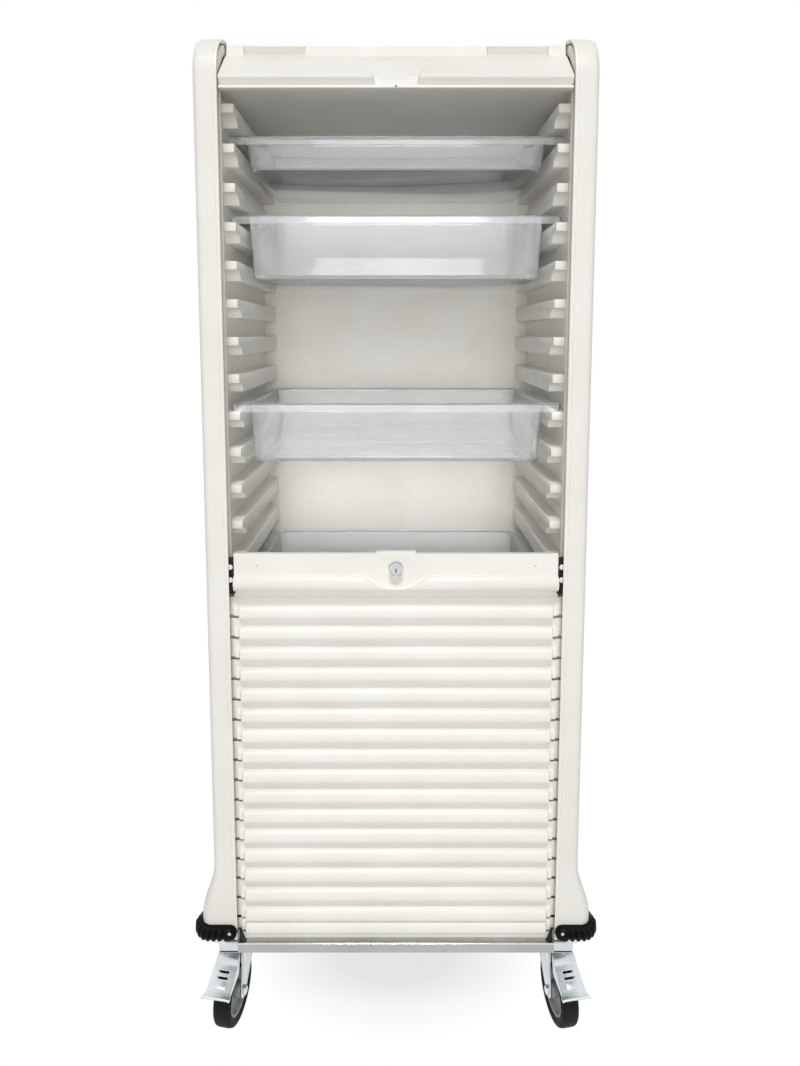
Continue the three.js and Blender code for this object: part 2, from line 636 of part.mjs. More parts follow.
// Tray about its own middle, with the top of the rim at zero
function tray(height) {
  const bodyWidth = TRAY_WIDTH - 2 * TRAY_SIDE_FLANGE;
  const bodyDepth = TRAY_DEPTH - 2 * TRAY_END_FLANGE;
  const centred = (width, depth, radius, inset) => {
    const halfWidth = width / 2 - inset;
    const halfDepth = depth / 2 - inset;
    const corner = radius - inset;
    return roundedRectangle(-halfWidth, -halfDepth, halfWidth, halfDepth, corner, corner, 3);
  };
  const rim = centred(TRAY_WIDTH, TRAY_DEPTH, TRAY_RIM_RADIUS, 0);
  const underRim = centred(TRAY_WIDTH, TRAY_DEPTH, TRAY_RIM_RADIUS, TRAY_WALL);
  const outer = centred(bodyWidth, bodyDepth, TRAY_BODY_RADIUS, 0);
  const inner = centred(bodyWidth, bodyDepth, TRAY_BODY_RADIUS, TRAY_WALL);
  const lip = prism('z', rim, -TRAY_WALL, 0, inner);
  const skirt = prism('z', rim, -TRAY_RIM_HEIGHT, 0, underRim);
  const wall = prism('z', outer, -height, 0, inner);
  const floor = prism('z', outer, -height, TRAY_WALL - height);
  return join(lip, skirt, wall, floor);
}

function addTrays() {
  TRAYS.forEach(({ level, height, gap }, i) => {
    const mesh = node(`tray_${i + 1}`, tray(height), CLEAR_TRAY);
    const middle = fromFront(INNER_DEPTH - gap - TRAY_DEPTH / 2);
    mesh.position.set(0, middle, runnerTop(level) + FIT + TRAY_RIM_HEIGHT);
    cabinet.add(mesh);
  });
}

// Cross rail: a ledge with a face turned down, hung by a lug under each shell
function ledgeRail() {
  const front = fromFront(0);
  const top = SHELL_BOTTOM - FIT;
  const underside = top - CROSS_RAIL_WALL;
  const angle = [
    [front, top - CROSS_RAIL_HEIGHT],
    [front + CROSS_RAIL_WALL, top - CROSS_RAIL_HEIGHT],
    [front + CROSS_RAIL_WALL, underside],
    [front + CROSS_RAIL_DEPTH, underside],
    [front + CROSS_RAIL_DEPTH, top],
    [front, top],
  ];
  const half = OPENING_WIDTH / 2 - FIT;
  const lug = box(
    half - OVERLAP, half + LUG_LENGTH, front + CROSS_RAIL_WALL, front + LUG_DEPTH, underside, top,
  );
  return join(prism('x', angle, -half, half), lug, mirrored(lug, 'x'));
}

function addBase() {
  const end = fromFront(RAIL_FRONT);
  const tube = rectangle(RAIL_INNER, RAIL_BOTTOM, RAIL_OUTER, SHELL_BOTTOM);
  const bore = rectangle(
    RAIL_INNER + RAIL_WALL, RAIL_BOTTOM + RAIL_WALL, RAIL_OUTER - RAIL_WALL, SHELL_BOTTOM - RAIL_WALL,
  );
  const crossRail = ledgeRail();
  addPair('base_side_rail', prism('y', tube, end, -end, bore), STAINLESS);
  cabinet.add(node('base_front_rail', crossRail, STAINLESS));
  cabinet.add(node('base_rear_rail', mirrored(crossRail, 'y'), STAINLESS));
}

// Front right bumper in plan: two legs round the foot, its outer side waved into ribs
function bumperOutline(shrink) {
  const face = fromFront(0);
  const side = FOOT_WIDTH / 2;
  const start = OPENING_WIDTH / 2 - BUMPER_INNER_REACH;
  const frontLeg = side - FOOT_CORNER - start;
  const bend = (FOOT_CORNER + BUMPER_CREST) * (Math.PI / 2);
  const length = frontLeg + bend + BUMPER_SIDE_LEG - FOOT_CORNER;
  const steps = BUMPER_RIBS * 4;
  const waved = Array.from({ length: steps + 1 }, (_, i) => {
    const travel = (length * i) / steps;
    const wave = Math.abs(Math.sin((Math.PI * BUMPER_RIBS * i) / steps));
    const offset = BUMPER_VALLEY + (BUMPER_CREST - BUMPER_VALLEY) * wave - shrink;
    if (travel < frontLeg) return [start + travel, face - offset];
    if (travel > frontLeg + bend) return [side + offset, face + FOOT_CORNER + travel - frontLeg - bend];
    const angle = ((travel - frontLeg) / bend) * (Math.PI / 2);
    const radius = FOOT_CORNER + offset;
    return [
      side - FOOT_CORNER + radius * Math.sin(angle),
      face + FOOT_CORNER - radius * Math.cos(angle),
    ];
  });
  return [
    ...waved,
    [side + FIT, face + BUMPER_SIDE_LEG],
    ...arc(side - FOOT_CORNER, face + FOOT_CORNER, FOOT_CORNER + FIT, 0, -90, 5),
    [start, face - FIT],
  ];
}

function addBumpers() {
  const bottom = SHELL_BOTTOM + BUMPER_RISE;
  const top = bottom + BUMPER_HEIGHT;
  const ribbed = join(
    prism('z', bumperOutline(BUMPER_SHOULDER), bottom, top),
    prism('z', bumperOutline(0), bottom + BUMPER_SHOULDER, top - BUMPER_SHOULDER),
  );
  const end = BUMPER_HEIGHT / 2;
  const start = OPENING_WIDTH / 2 - BUMPER_INNER_REACH;
  const outside = FOOT_WIDTH / 2 + BUMPER_CREST + OVERLAP;
  const roundEnd = [...arc(start + end, bottom + end, end, 90, 270, 8), [outside, bottom], [outside, top]];
  const face = fromFront(0);
  const reach = BUMPER_CREST + OVERLAP;
  const right = common(ribbed, prism('y', roundEnd, face - reach, face + BUMPER_SIDE_LEG + reach));
  addPair('bumper_front', right, BLACK_RUBBER);
  addPair('bumper_rear', mirrored(right, 'y'), BLACK_RUBBER);
}

function castorPlate() {
  const bottom = RAIL_BOTTOM - PLATE_THICKNESS;
  const outline = rectangle(-PLATE_LENGTH / 2, -PLATE_WIDTH / 2, PLATE_LENGTH / 2, PLATE_WIDTH / 2);
  const race = arc(0, 0, RACE_RADIUS + RACE_COVER, 0, 345, 23);
  return join(
    prism('z', outline, bottom, RAIL_BOTTOM),
    prism('z', race, RACE_TOP + FIT, bottom + OVERLAP),
  );
}

// Fork: a crown under the race and two tapered legs with an eye for the axle
function castorFork() {
  const inner = FORK_GAP / 2;
  const outer = inner + FORK_WALL;
  const leg = [
    [FORK_BACK, FORK_TOP],
    [FORK_BACK, FORK_TOP - FORK_SKIRT],
    ...arc(TRAIL, WHEEL_RADIUS, FORK_EYE_RADIUS, 210, 370, 8),
    [FORK_FRONT, FORK_TOP],
  ];
  const eye = arc(TRAIL, WHEEL_RADIUS, AXLE_RADIUS + FIT, 0, 330, 11);
  const crown = box(FORK_BACK, FORK_FRONT, -outer, outer, FORK_TOP - FORK_WALL, FORK_TOP);
  const race = prism('z', arc(0, 0, RACE_RADIUS, 0, 345, 23), FORK_TOP - OVERLAP, RACE_TOP);
  return join(
    crown,
    race,
    prism('y', leg, inner, outer, eye),
    prism('y', leg, -outer, -inner, eye),
  );
}

function tyre() {
  const half = WHEEL_WIDTH / 2;
  const inner = WHEEL_RADIUS - TYRE_DEPTH;
  const side = [
    [inner, half - TYRE_BEVEL],
    [WHEEL_RADIUS - TYRE_SHOULDER, half],
    [WHEEL_RADIUS - TYRE_CROWN, half - TYRE_BEVEL],
    [WHEEL_RADIUS, half - TYRE_CROWN_INSET],
  ];
  const otherSide = side.map(([radius, along]) => [radius, -along]);
  return turned([...otherSide, ...side.reverse(), otherSide[0]], WHEEL_SEGMENTS);
}

function rim() {
  const bore = AXLE_RADIUS + FIT;
  const outer = WHEEL_RADIUS - TYRE_DEPTH - FIT;
  const edge = WHEEL_WIDTH / 2 - TYRE_BEVEL - SLIP;
  const side = [
    [bore, HUB_WIDTH / 2],
    [bore + HUB_WALL, HUB_WIDTH / 2],
    [bore + HUB_WALL, RIM_WEB / 2],
    [outer - RIM_FLANGE, RIM_WEB / 2],
    [outer - RIM_FLANGE, edge],
    [outer, edge],
  ];
  const otherSide = side.map(([radius, along]) => [radius, -along]);
  return turned([...otherSide, ...side.reverse(), otherSide[0]], WHEEL_SEGMENTS);
}

function axleBolt() {
  const underHead = FORK_GAP / 2 + FORK_WALL + FIT;
  const end = underHead + AXLE_HEAD;
  return turned([
    [0, -end],
    [AXLE_HEAD_RADIUS, -end],
    [AXLE_HEAD_RADIUS, -underHead],
    [AXLE_RADIUS, -underHead],
    [AXLE_RADIUS, underHead],
    [AXLE_HEAD_RADIUS, underHead],
    [AXLE_HEAD_RADIUS, end],
    [0, end],
  ], 12);
}

// Brake pedal: a tongue between the fork's legs and a broad plate that bends down over the wheel
function brakePedal() {
  const start = FORK_FRONT + PEDAL_START;
  const pivotHeight = FORK_TOP - PEDAL_PIVOT_DROP;
  const upper = PEDAL_BENDS.map(([along, height]) => [start + along, pivotHeight + height]);
  const lower = upper.map(([along, height]) => [along - OVERLAP, height - PEDAL_THICKNESS]).reverse();
  const half = FORK_GAP / 2 - SLIP;
  const { back, above, below } = PEDAL_TONGUE;
  const tongue = box(
    PEDAL_PIVOT - back, start + OVERLAP, -half, half, pivotHeight - below, pivotHeight + above,
  );
  return join(prism('y', [...upper, ...lower], -PEDAL_WIDTH / 2, PEDAL_WIDTH / 2), tongue);
}

function addCastor(name, sideX, sideY) {
  const yaw = THREE.MathUtils.degToRad(CASTOR_YAW);
  const castor = new THREE.Group();
  castor.name = `castor_${name}`;
  castor.position.set(sideX * (RAIL_OUTER - RAIL_WIDTH / 2), -sideY * fromFront(CASTOR_END_INSET), 0);
  const wheelPieces = [
    node(`castor_${name}_tyre`, tyre(), TYRE_RUBBER),
    node(`castor_${name}_rim`, rim(), RIM_PLASTIC),
    node(`castor_${name}_axle`, axleBolt(), ZINC_PLATE),
  ];
  wheelPieces.forEach((piece) => piece.position.set(TRAIL, 0, WHEEL_RADIUS));
  const swivel = new THREE.Group();
  swivel.name = `castor_${name}_swivel`;
  swivel.rotation.z = Math.atan2(sideY * Math.cos(yaw), sideX * Math.sin(yaw));
  swivel.add(
    node(`castor_${name}_fork`, castorFork(), ZINC_PLATE),
    node(`castor_${name}_pedal`, brakePedal(), ZINC_PLATE),
    ...wheelPieces,
  );
  const plate = node(`castor_${name}_plate`, castorPlate(), ZINC_PLATE);
  plate.rotation.z = Math.PI / 2;
  castor.add(plate, swivel);
  cabinet.add(castor);
}

addPair('side_shell', sideShell(), IVORY_ABS);
addInterior();
addTop();
addShutter();
addTrays();
addBase();
addBumpers();
addCastor('front_left', -1, -1);
addCastor('front_right', 1, -1);
addCastor('rear_left', -1, 1);
addCastor('rear_right', 1, 1);

export default cabinet;
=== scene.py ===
"""Looks of a tall mobile tray cabinet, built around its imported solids.

Sizes in the classes are millimetres in the shared frame: +X to the right seen from the front,
-Y out of the front, +Z up, with the origin on the floor under the middle of the cabinet.
"""

from __future__ import annotations

import json
import logging
import math
from dataclasses import dataclass
from enum import Enum
from typing import Any, Sequence

import bmesh
import bpy
from mathutils import Matrix, Vector

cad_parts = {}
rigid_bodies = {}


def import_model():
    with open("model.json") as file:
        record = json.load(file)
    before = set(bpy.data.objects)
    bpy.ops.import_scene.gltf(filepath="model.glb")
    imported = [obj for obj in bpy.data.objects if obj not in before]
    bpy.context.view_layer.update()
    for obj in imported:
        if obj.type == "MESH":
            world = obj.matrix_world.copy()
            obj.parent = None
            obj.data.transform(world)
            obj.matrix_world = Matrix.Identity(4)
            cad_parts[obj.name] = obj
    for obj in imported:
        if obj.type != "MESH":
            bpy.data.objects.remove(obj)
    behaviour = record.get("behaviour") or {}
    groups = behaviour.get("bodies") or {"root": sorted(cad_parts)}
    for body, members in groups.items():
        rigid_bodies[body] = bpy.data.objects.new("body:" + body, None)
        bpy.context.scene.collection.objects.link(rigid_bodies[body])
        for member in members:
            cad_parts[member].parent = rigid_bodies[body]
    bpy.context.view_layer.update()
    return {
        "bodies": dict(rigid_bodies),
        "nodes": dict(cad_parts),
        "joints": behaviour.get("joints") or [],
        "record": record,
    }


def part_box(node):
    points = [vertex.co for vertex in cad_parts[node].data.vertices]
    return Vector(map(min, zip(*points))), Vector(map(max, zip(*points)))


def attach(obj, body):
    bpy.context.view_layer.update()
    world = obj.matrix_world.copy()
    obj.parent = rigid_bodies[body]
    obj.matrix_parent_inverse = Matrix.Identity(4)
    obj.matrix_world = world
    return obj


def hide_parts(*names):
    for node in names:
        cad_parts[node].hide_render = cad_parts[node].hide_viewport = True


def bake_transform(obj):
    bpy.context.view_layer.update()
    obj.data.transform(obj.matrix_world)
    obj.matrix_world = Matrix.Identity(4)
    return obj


LOG = logging.getLogger("tray_cabinet")

MM = 0.001
SMOOTH_ANGLE = math.radians(38)
BEVEL_ANGLE = math.radians(32)
PHOTO_HEIGHT = 1066
HANDS = (("right", 1), ("left", -1))

# Sizes of the shells that other pieces meet, in millimetres.
FRONT_FACE = -260.0
SHELL_TOP = 1908.0
SHELL_CORNER = 80.0
OPENING_HALF = 302.0
FOOT_HALF = 371.0
FOOT_CORNER = 20.0

Point2 = tuple[float, float]
Point3 = tuple[float, float, float]
Ring = list[Point3]
Frame = dict[str, Any]


# Shader nodes and finishes


def linear(code: str) -> tuple[float, float, float, float]:
    """Turn an sRGB hex colour into linear light.

    Args:
        code: Six hex digits.

    Returns:
        Red, green, blue and an alpha of one.
    """
    channels = [int(code[i : i + 2], 16) / 255 for i in (0, 2, 4)]
    light = [c / 12.92 if c <= 0.04045 else ((c + 0.055) / 1.055) ** 2.4 for c in channels]
    return (light[0], light[1], light[2], 1.0)


def add_node(
    tree: bpy.types.NodeTree,
    kind: str,
    values: dict[str | int, Any] | None = None,
    links: dict[str | int, bpy.types.NodeSocket] | None = None,
    **settings: Any,
) -> bpy.types.Node:
    """Add one shader node.

    Args:
        tree: Node tree that takes it.
        kind: Blender's type name of the node.
        values: Constant value of each input, by name or number.
        links: Output socket that feeds each input, by name or number.
        **settings: Attributes of the node itself.

    Returns:
        The new node.
    """
    made = tree.nodes.new(kind)
    for key, value in settings.items():
        setattr(made, key, value)
    for key, value in (values or {}).items():
        made.inputs[key].default_value = value
    for key, socket in (links or {}).items():
        tree.links.new(socket, made.inputs[key])
    return made


def combine(
    tree: bpy.types.NodeTree, operation: str, first: bpy.types.NodeSocket, second: bpy.types.NodeSocket
) -> bpy.types.NodeSocket:
    """Work out one number from two others.

    Args:
        tree: Node tree that takes the node.
        operation: Blender's name of the operation.
        first: First number.
        second: Second number.

    Returns:
        The result.
    """
    return add_node(tree, "ShaderNodeMath", links={0: first, 1: second}, operation=operation).outputs[0]


def mix_surfaces(tree: bpy.types.NodeTree, share: bpy.types.NodeSocket, added: bpy.types.Node) -> None:
    """Show another shader in place of the main one, by a share.

    Args:
        tree: Node tree of the material.
        share: Share of the other shader.
        added: The other shader.
    """
    main_shader = tree.nodes["Principled BSDF"].outputs[0]
    mixed = add_node(tree, "ShaderNodeMixShader", links={"Fac": share, 1: main_shader, 2: added.outputs[0]})
    tree.links.new(mixed.outputs[0], tree.nodes["Material Output"].inputs["Surface"])


class Grain(Enum):
    """Stretch of a surface's fine pattern along X, Y and Z."""

    EVEN = (1.0, 1.0, 1.0)
    BRUSHED_X = (0.02, 1.0, 1.0)
    BRUSHED_Y = (1.0, 0.02, 1.0)


@dataclass(frozen=True)
class Finish:
    """A material and the way its surface was made.

    Attributes:
        name: Material and process.
        slot: The record's material slot; not used.
        colour: sRGB hex of the surface.
        tone: sRGB hex that the surface drifts to in broad soft patches.
        roughness: Lowest and highest roughness across the grain.
        grain_mm: Width of one grain of the pattern.
        relief_mm: How deep the grain is.
        grain: Direction of the pattern.
        patch_mm: Width of the patches of tone.
        metallic: One for bare metal.
        ior: Index of refraction, left alone on metal.
        clear: Share of light that passes through.
        lamp_share: Share of a lamp's light that goes straight through a clear surface.
        gloss: Strength of the surface reflection, half for a closed surface.
    """

    name: str
    slot: str
    colour: str
    tone: str
    roughness: Point2
    grain_mm: float
    relief_mm: float
    grain: Grain = Grain.EVEN
    patch_mm: float = 120.0
    metallic: float = 0.0
    ior: float = 1.5
    clear: float = 0.0
    lamp_share: float = 0.8
    gloss: float = 0.5

    def material(self) -> bpy.types.Material:
        """Make the material once, and hand it out again after that.

        Returns:
            The Blender material.
        """
        known = bpy.data.materials.get(self.name)
        if known:
            return known
        made = bpy.data.materials.new(self.name)
        made.use_nodes = True
        made.diffuse_color = linear(self.colour)
        self._shade(made.node_tree)
        return made

    def _shade(self, tree: bpy.types.NodeTree) -> None:
        """Lay patches of tone, a grained roughness and a fine relief on the shader.

        Args:
            tree: Node tree of the material.
        """
        shader = tree.nodes["Principled BSDF"]
        shader.inputs["Metallic"].default_value = self.metallic
        shader.inputs["Transmission Weight"].default_value = self.clear
        if not self.metallic:
            shader.inputs["IOR"].default_value = self.ior
            shader.inputs["Specular IOR Level"].default_value = self.gloss
        if self.clear:
            self._pass_light(tree)
        place = add_node(tree, "ShaderNodeTexCoord").outputs["Object"]
        patches = add_node(
            tree,
            "ShaderNodeTexNoise",
            {"Scale": 1 / (self.patch_mm * MM), "Detail": 3.0, "Roughness": 0.55},
            {"Vector": place},
        )
        tint = add_node(tree, "ShaderNodeValToRGB", links={"Fac": patches.outputs["Fac"]})
        for stop, position, code in zip(
            tint.color_ramp.elements, (0.35, 0.65), (self.tone, self.colour)
        ):
            stop.position = position
            stop.color = linear(code)
        tree.links.new(tint.outputs["Color"], shader.inputs["Base Color"])
        stretched = add_node(tree, "ShaderNodeMapping", {"Scale": self.grain.value}, {"Vector": place})
        grain = add_node(
            tree,
            "ShaderNodeTexNoise",
            {"Scale": 1 / (self.grain_mm * MM), "Detail": 2.0, "Roughness": 0.6},
            {"Vector": stretched.outputs["Vector"]},
        )
        rough = add_node(
            tree,
            "ShaderNodeMapRange",
            {"To Min": self.roughness[0], "To Max": self.roughness[1]},
            {"Value": grain.outputs["Fac"]},
        )
        tree.links.new(rough.outputs["Result"], shader.inputs["Roughness"])
        relief = add_node(
            tree,
            "ShaderNodeBump",
            {"Strength": 0.5, "Distance": self.relief_mm * MM},
            {"Height": grain.outputs["Fac"]},
        )
        tree.links.new(relief.outputs["Normal"], shader.inputs["Normal"])

    def _pass_light(self, tree: bpy.types.NodeTree) -> None:
        """Let lamps shine through thin clear walls, as they do without bending much.

        Args:
            tree: Node tree of the material.
        """
        path = add_node(tree, "ShaderNodeLightPath")
        share = add_node(
            tree,
            "ShaderNodeMath",
            {1: self.lamp_share},
            {0: path.outputs["Is Shadow Ray"]},
            operation="MULTIPLY",
        )
        mix_surfaces(tree, share.outputs[0], add_node(tree, "ShaderNodeBsdfTransparent"))


# Moulded ABS: warm white, a soft sheen over an eroded tool's fine grain, faintly uneven in tone.
IVORY_ABS = Finish(
    "moulded_abs_ivory", "ivory_abs", "F3F1EB", "EFEDE5", (0.34, 0.46), 2.4, 0.05, ior=1.54
)
# The same ABS vacuum formed over a mould, and duller. Its colour is a little paler than the shells' as
# painted light that brightens the shaded interior.
LIT_LINER_ABS = Finish(
    "formed_abs_liner_lit", "liner_abs", "F6F4ED", "F1EEE6", (0.38, 0.5), 3.0, 0.06, ior=1.54
)
# Injection-moulded polycarbonate: water clear, with a hard gloss and slow ripples from the flow.
CLEAR_PC = Finish(
    "moulded_polycarbonate_clear", "clear_pc", "FCFDFE", "F7F9FB", (0.03, 0.07), 45.0, 0.25,
    ior=1.585, clear=0.86,
)
# Folded stainless sheet: long fine scratches along the rail that smear the reflections.
STAINLESS_X = Finish(
    "brushed_stainless_crosswise", "stainless", "BEBEBB", "B0B0AD", (0.24, 0.38), 1.6, 0.02,
    Grain.BRUSHED_X, metallic=1.0,
)
STAINLESS_Y = Finish(
    "brushed_stainless_lengthwise", "stainless", "BEBEBB", "B0B0AD", (0.24, 0.38), 1.6, 0.02,
    Grain.BRUSHED_Y, metallic=1.0,
)
# Pressed steel, bright zinc plated: cool blue-grey, cloudy, with a soft mirror.
ZINC_PLATE = Finish(
    "zinc_plated_pressed_steel", "zinc_steel", "E0E5E7", "D3D9DC", (0.22, 0.34), 3.5, 0.012,
    patch_mm=30.0, metallic=1.0,
)
# Chrome on a zinc casting: a sharp mirror with a few wipe marks.
CHROME = Finish(
    "chrome_plated_casting", "chrome", "DCDDDE", "D0D2D4", (0.06, 0.14), 4.0, 0.01,
    patch_mm=10.0, metallic=1.0,
)
# Moulded rubber: near black, an open grain that swallows most of the gloss, a shade greyer in places.
BLACK_RUBBER = Finish(
    "moulded_rubber_black", "black_rubber", "050505", "090909", (0.32, 0.5), 1.8, 0.06,
    patch_mm=14.0, gloss=0.1,
)
# Moulded nylon: black with a waxy sheen.
BLACK_NYLON = Finish(
    "moulded_nylon_black", "black_nylon", "0E0E0E", "161616", (0.36, 0.5), 1.5, 0.05,
    patch_mm=12.0, gloss=0.3,
)
# Tread rubber: charcoal, dull, dusty where it has rolled.
TYRE_RUBBER = Finish(
    "tread_rubber_charcoal", "tyre_rubber", "181919", "202120", (0.55, 0.75), 1.6, 0.1,
    patch_mm=16.0, gloss=0.15,
)
# Moulded polyamide rim: mid grey and even.
RIM_NYLON = Finish(
    "moulded_polyamide_grey", "rim_plastic", "9C9EA1", "909295", (0.42, 0.55), 1.8, 0.05, patch_mm=25.0
)


# Mesh tools


def behind_front(distance: float) -> float:
    """Give the Y of a point that lies so far behind the cabinet's front face."""
    return FRONT_FACE + distance


def arc(centre: Point2, radius: float, start: float, end: float, steps: int) -> list[Point2]:
    """Lay points on an arc, both ends included.

    Args:
        centre: Middle of the arc.
        radius: Its radius.
        start: First angle in degrees.
        end: Last angle in degrees.
        steps: Number of chords.

    Returns:
        The points in order.
    """
    angles = [math.radians(start + (end - start) * i / steps) for i in range(steps + 1)]
    return [(centre[0] + radius * math.cos(a), centre[1] + radius * math.sin(a)) for a in angles]


def rounded_rectangle(width: float, depth: float, radius: float, steps: int = 5) -> list[Point2]:
    """Outline a rectangle about the origin with round corners.

    Args:
        width: Full size along the first axis.
        depth: Full size along the second axis.
        radius: Corner radius.
        steps: Chords in each corner.

    Returns:
        The points, counter-clockwise.
    """
    u, v = width / 2 - radius, depth / 2 - radius
    corners = (((u, v), 0), ((-u, v), 90), ((-u, -v), 180), ((u, -v), 270))
    return [p for centre, start in corners for p in arc(centre, radius, start, start + 90, steps)]


def mirrored(half: Sequence[Point2]) -> list[Point2]:
    """Close half an outline with its mirror image across the first axis."""
    return [*half, *[(u, -v) for u, v in reversed(half)]]


def add_object(name: str, data: bpy.types.ID) -> bpy.types.Object:
    """Put data into the scene as an object.

    Args:
        name: Name of the object.
        data: Its mesh, lamp or camera.

    Returns:
        The object.
    """
    made = bpy.data.objects.new(name, data)
    bpy.context.scene.collection.objects.link(made)
    return made


def soften(piece: bpy.types.Object, round_mm: float) -> None:
    """Add a modifier that rounds a piece's edges.

    Args:
        piece: The piece.
        round_mm: Width of the rounding.
    """
    edge = piece.modifiers.new("edge", "BEVEL")
    edge.width, edge.segments = round_mm * MM, 2
    edge.limit_method, edge.angle_limit = "ANGLE", BEVEL_ANGLE


def mesh_piece(name: str, points: Sequence[Point3], faces: Sequence[Sequence[int]]) -> bpy.types.Object:
    """Make an object from points in millimetres, with coincident points merged.

    Args:
        name: Name of the piece.
        points: Its points.
        faces: Point numbers of each face.

    Returns:
        The object, linked to the scene.
    """
    mesh = bpy.data.meshes.new(name)
    mesh.from_pydata([tuple(c * MM for c in p) for p in points], [], [tuple(f) for f in faces])
    cleaned = bmesh.new()
    cleaned.from_mesh(mesh)
    bmesh.ops.remove_doubles(cleaned, verts=cleaned.verts, dist=1e-6)
    bmesh.ops.dissolve_degenerate(cleaned, edges=cleaned.edges, dist=1e-7)
    bmesh.ops.recalc_face_normals(cleaned, faces=cleaned.faces)
    cleaned.to_mesh(mesh)
    cleaned.free()
    return add_object(name, mesh)


def loft(name: str, rings: Sequence[Ring], around: bool = False, wrap: bool = True) -> bpy.types.Object:
    """Skin a row of rings that have equally many points.

    Args:
        name: Name of the piece.
        rings: The rings in order.
        around: Join the last ring to the first, and otherwise cap both ends.
        wrap: Join the last point of each ring to its first.

    Returns:
        The piece.
    """
    count = len(rings[0])
    faces: list[tuple[int, ...]] = []
    for r in range(len(rings) if around else len(rings) - 1):
        low, high = r * count, ((r + 1) % len(rings)) * count
        for i in range(count if wrap else count - 1):
            j = (i + 1) % count
            faces.append((low + i, low + j, high + j, high + i))
    if not around:
        faces.append(tuple(reversed(range(count))))
        faces.append(tuple(range((len(rings) - 1) * count, len(rings) * count)))
    return mesh_piece(name, [p for ring in rings for p in ring], faces)


def turned(name: str, profile: Sequence[Point2], place: Matrix, segments: int) -> bpy.types.Object:
    """Turn a closed profile about the local Y axis.

    Args:
        name: Name of the piece.
        profile: Radius and distance along the axis of each corner, in millimetres.
        place: Where the local origin and axes go, in metres.
        segments: Steps round the axis.

    Returns:
        The piece.
    """
    angles = [2 * math.pi * i / segments for i in range(segments)]
    rings = [[(r * math.cos(a), along, r * math.sin(a)) for r, along in profile] for a in angles]
    piece = loft(name, rings, around=True)
    piece.data.transform(place)
    return piece


def settle(piece: bpy.types.Object, round_mm: float = 0.0, thick_mm: float = 0.0) -> bpy.types.Object:
    """Thicken a sheet or round a solid's edges, then shade it smooth up to its corners.

    Args:
        piece: The piece to work on.
        round_mm: Width of the rounding, or nothing for none.
        thick_mm: Thickness that a sheet gets on its inner side, or nothing for a solid.

    Returns:
        The same piece.
    """
    if thick_mm:
        wall = piece.modifiers.new("wall", "SOLIDIFY")
        wall.thickness, wall.offset = thick_mm * MM, -1.0
    if round_mm:
        soften(piece, round_mm)
    view = bpy.context.evaluated_depsgraph_get()
    baked = bpy.data.meshes.new_from_object(piece.evaluated_get(view))
    piece.modifiers.clear()
    piece.data = baked
    baked.polygons.foreach_set("use_smooth", [True] * len(baked.polygons))
    baked.set_sharp_from_angle(angle=SMOOTH_ANGLE)
    return piece


def carve(piece: bpy.types.Object, tool: bpy.types.Object) -> None:
    """Cut one piece out of another and drop the tool.

    Args:
        piece: The piece that keeps the rest.
        tool: The piece that is taken away.
    """
    cutting = piece.modifiers.new("cut", "BOOLEAN")
    cutting.object, cutting.operation, cutting.solver = tool, "DIFFERENCE", "EXACT"
    settle(piece)
    bpy.data.objects.remove(tool)


@dataclass
class SubAssembly:
    """Pieces that are built and dressed together.

    Attributes:
        frame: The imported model.
    """

    frame: Frame

    def skin(self, node: str, round_mm: float) -> bpy.types.Object:
        """Make a piece with a solid's shape and softened edges.

        Args:
            node: Name of the solid.
            round_mm: Width of the rounding.

        Returns:
            The new piece.
        """
        mesh = self.frame["nodes"][node].data.copy()
        cleaned = bmesh.new()
        cleaned.from_mesh(mesh)
        bmesh.ops.remove_doubles(cleaned, verts=cleaned.verts, dist=1e-6)
        bmesh.ops.dissolve_limit(
            cleaned, angle_limit=math.radians(1), verts=cleaned.verts, edges=cleaned.edges
        )
        cleaned.to_mesh(mesh)
        cleaned.free()
        return settle(add_object(f"{node}_skin", mesh), round_mm=round_mm)

    def dress(self, piece: bpy.types.Object, body: str, finish: Finish, *nodes: str) -> bpy.types.Object:
        """Give a piece its finish and the body that carries it.

        Args:
            piece: The piece.
            body: Body that it rides on.
            finish: Its finish.
            *nodes: Solids that it stands for.

        Returns:
            The same piece.
        """
        piece.data.materials.clear()
        piece.data.materials.append(finish.material())
        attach(piece, body)
        if nodes:
            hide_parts(*nodes)
        LOG.info("%s rides on %s in %s", piece.name, body, finish.name)
        return piece

    def paint(self, node: str, finish: Finish, round_mm: float = 0.0) -> None:
        """Give a solid that stays its finish, and soften its edges in the render.

        Args:
            node: Name of the solid.
            finish: Its finish.
            round_mm: Width of the rounding, or nothing for none.
        """
        solid = self.frame["nodes"][node]
        solid.material_slots[0].material = finish.material()
        if round_mm:
            soften(solid, round_mm)
        LOG.info("%s stays in %s", node, finish.name)

    def screw(self, name: str, place: Matrix, radius: float, body: str, finish: Finish) -> None:
        """Add a small domed screw head with a cross recess, its face towards local -Y.

        Args:
            name: Name of the piece.
            place: Middle of its seat and its axes, in metres.
            radius: Radius of the head.
            body: Body that it rides on.
            finish: Its finish.
        """
        dome = [(0.0, 0.0), (radius, 0.0), (radius, -0.3), (radius * 0.8, -0.9), (radius * 0.35, -1.2)]
        profile = [*dome, (radius * 0.3, -0.5), (0.0, -0.5)]
        self.dress(settle(turned(name, profile, place, 20)), body, finish)


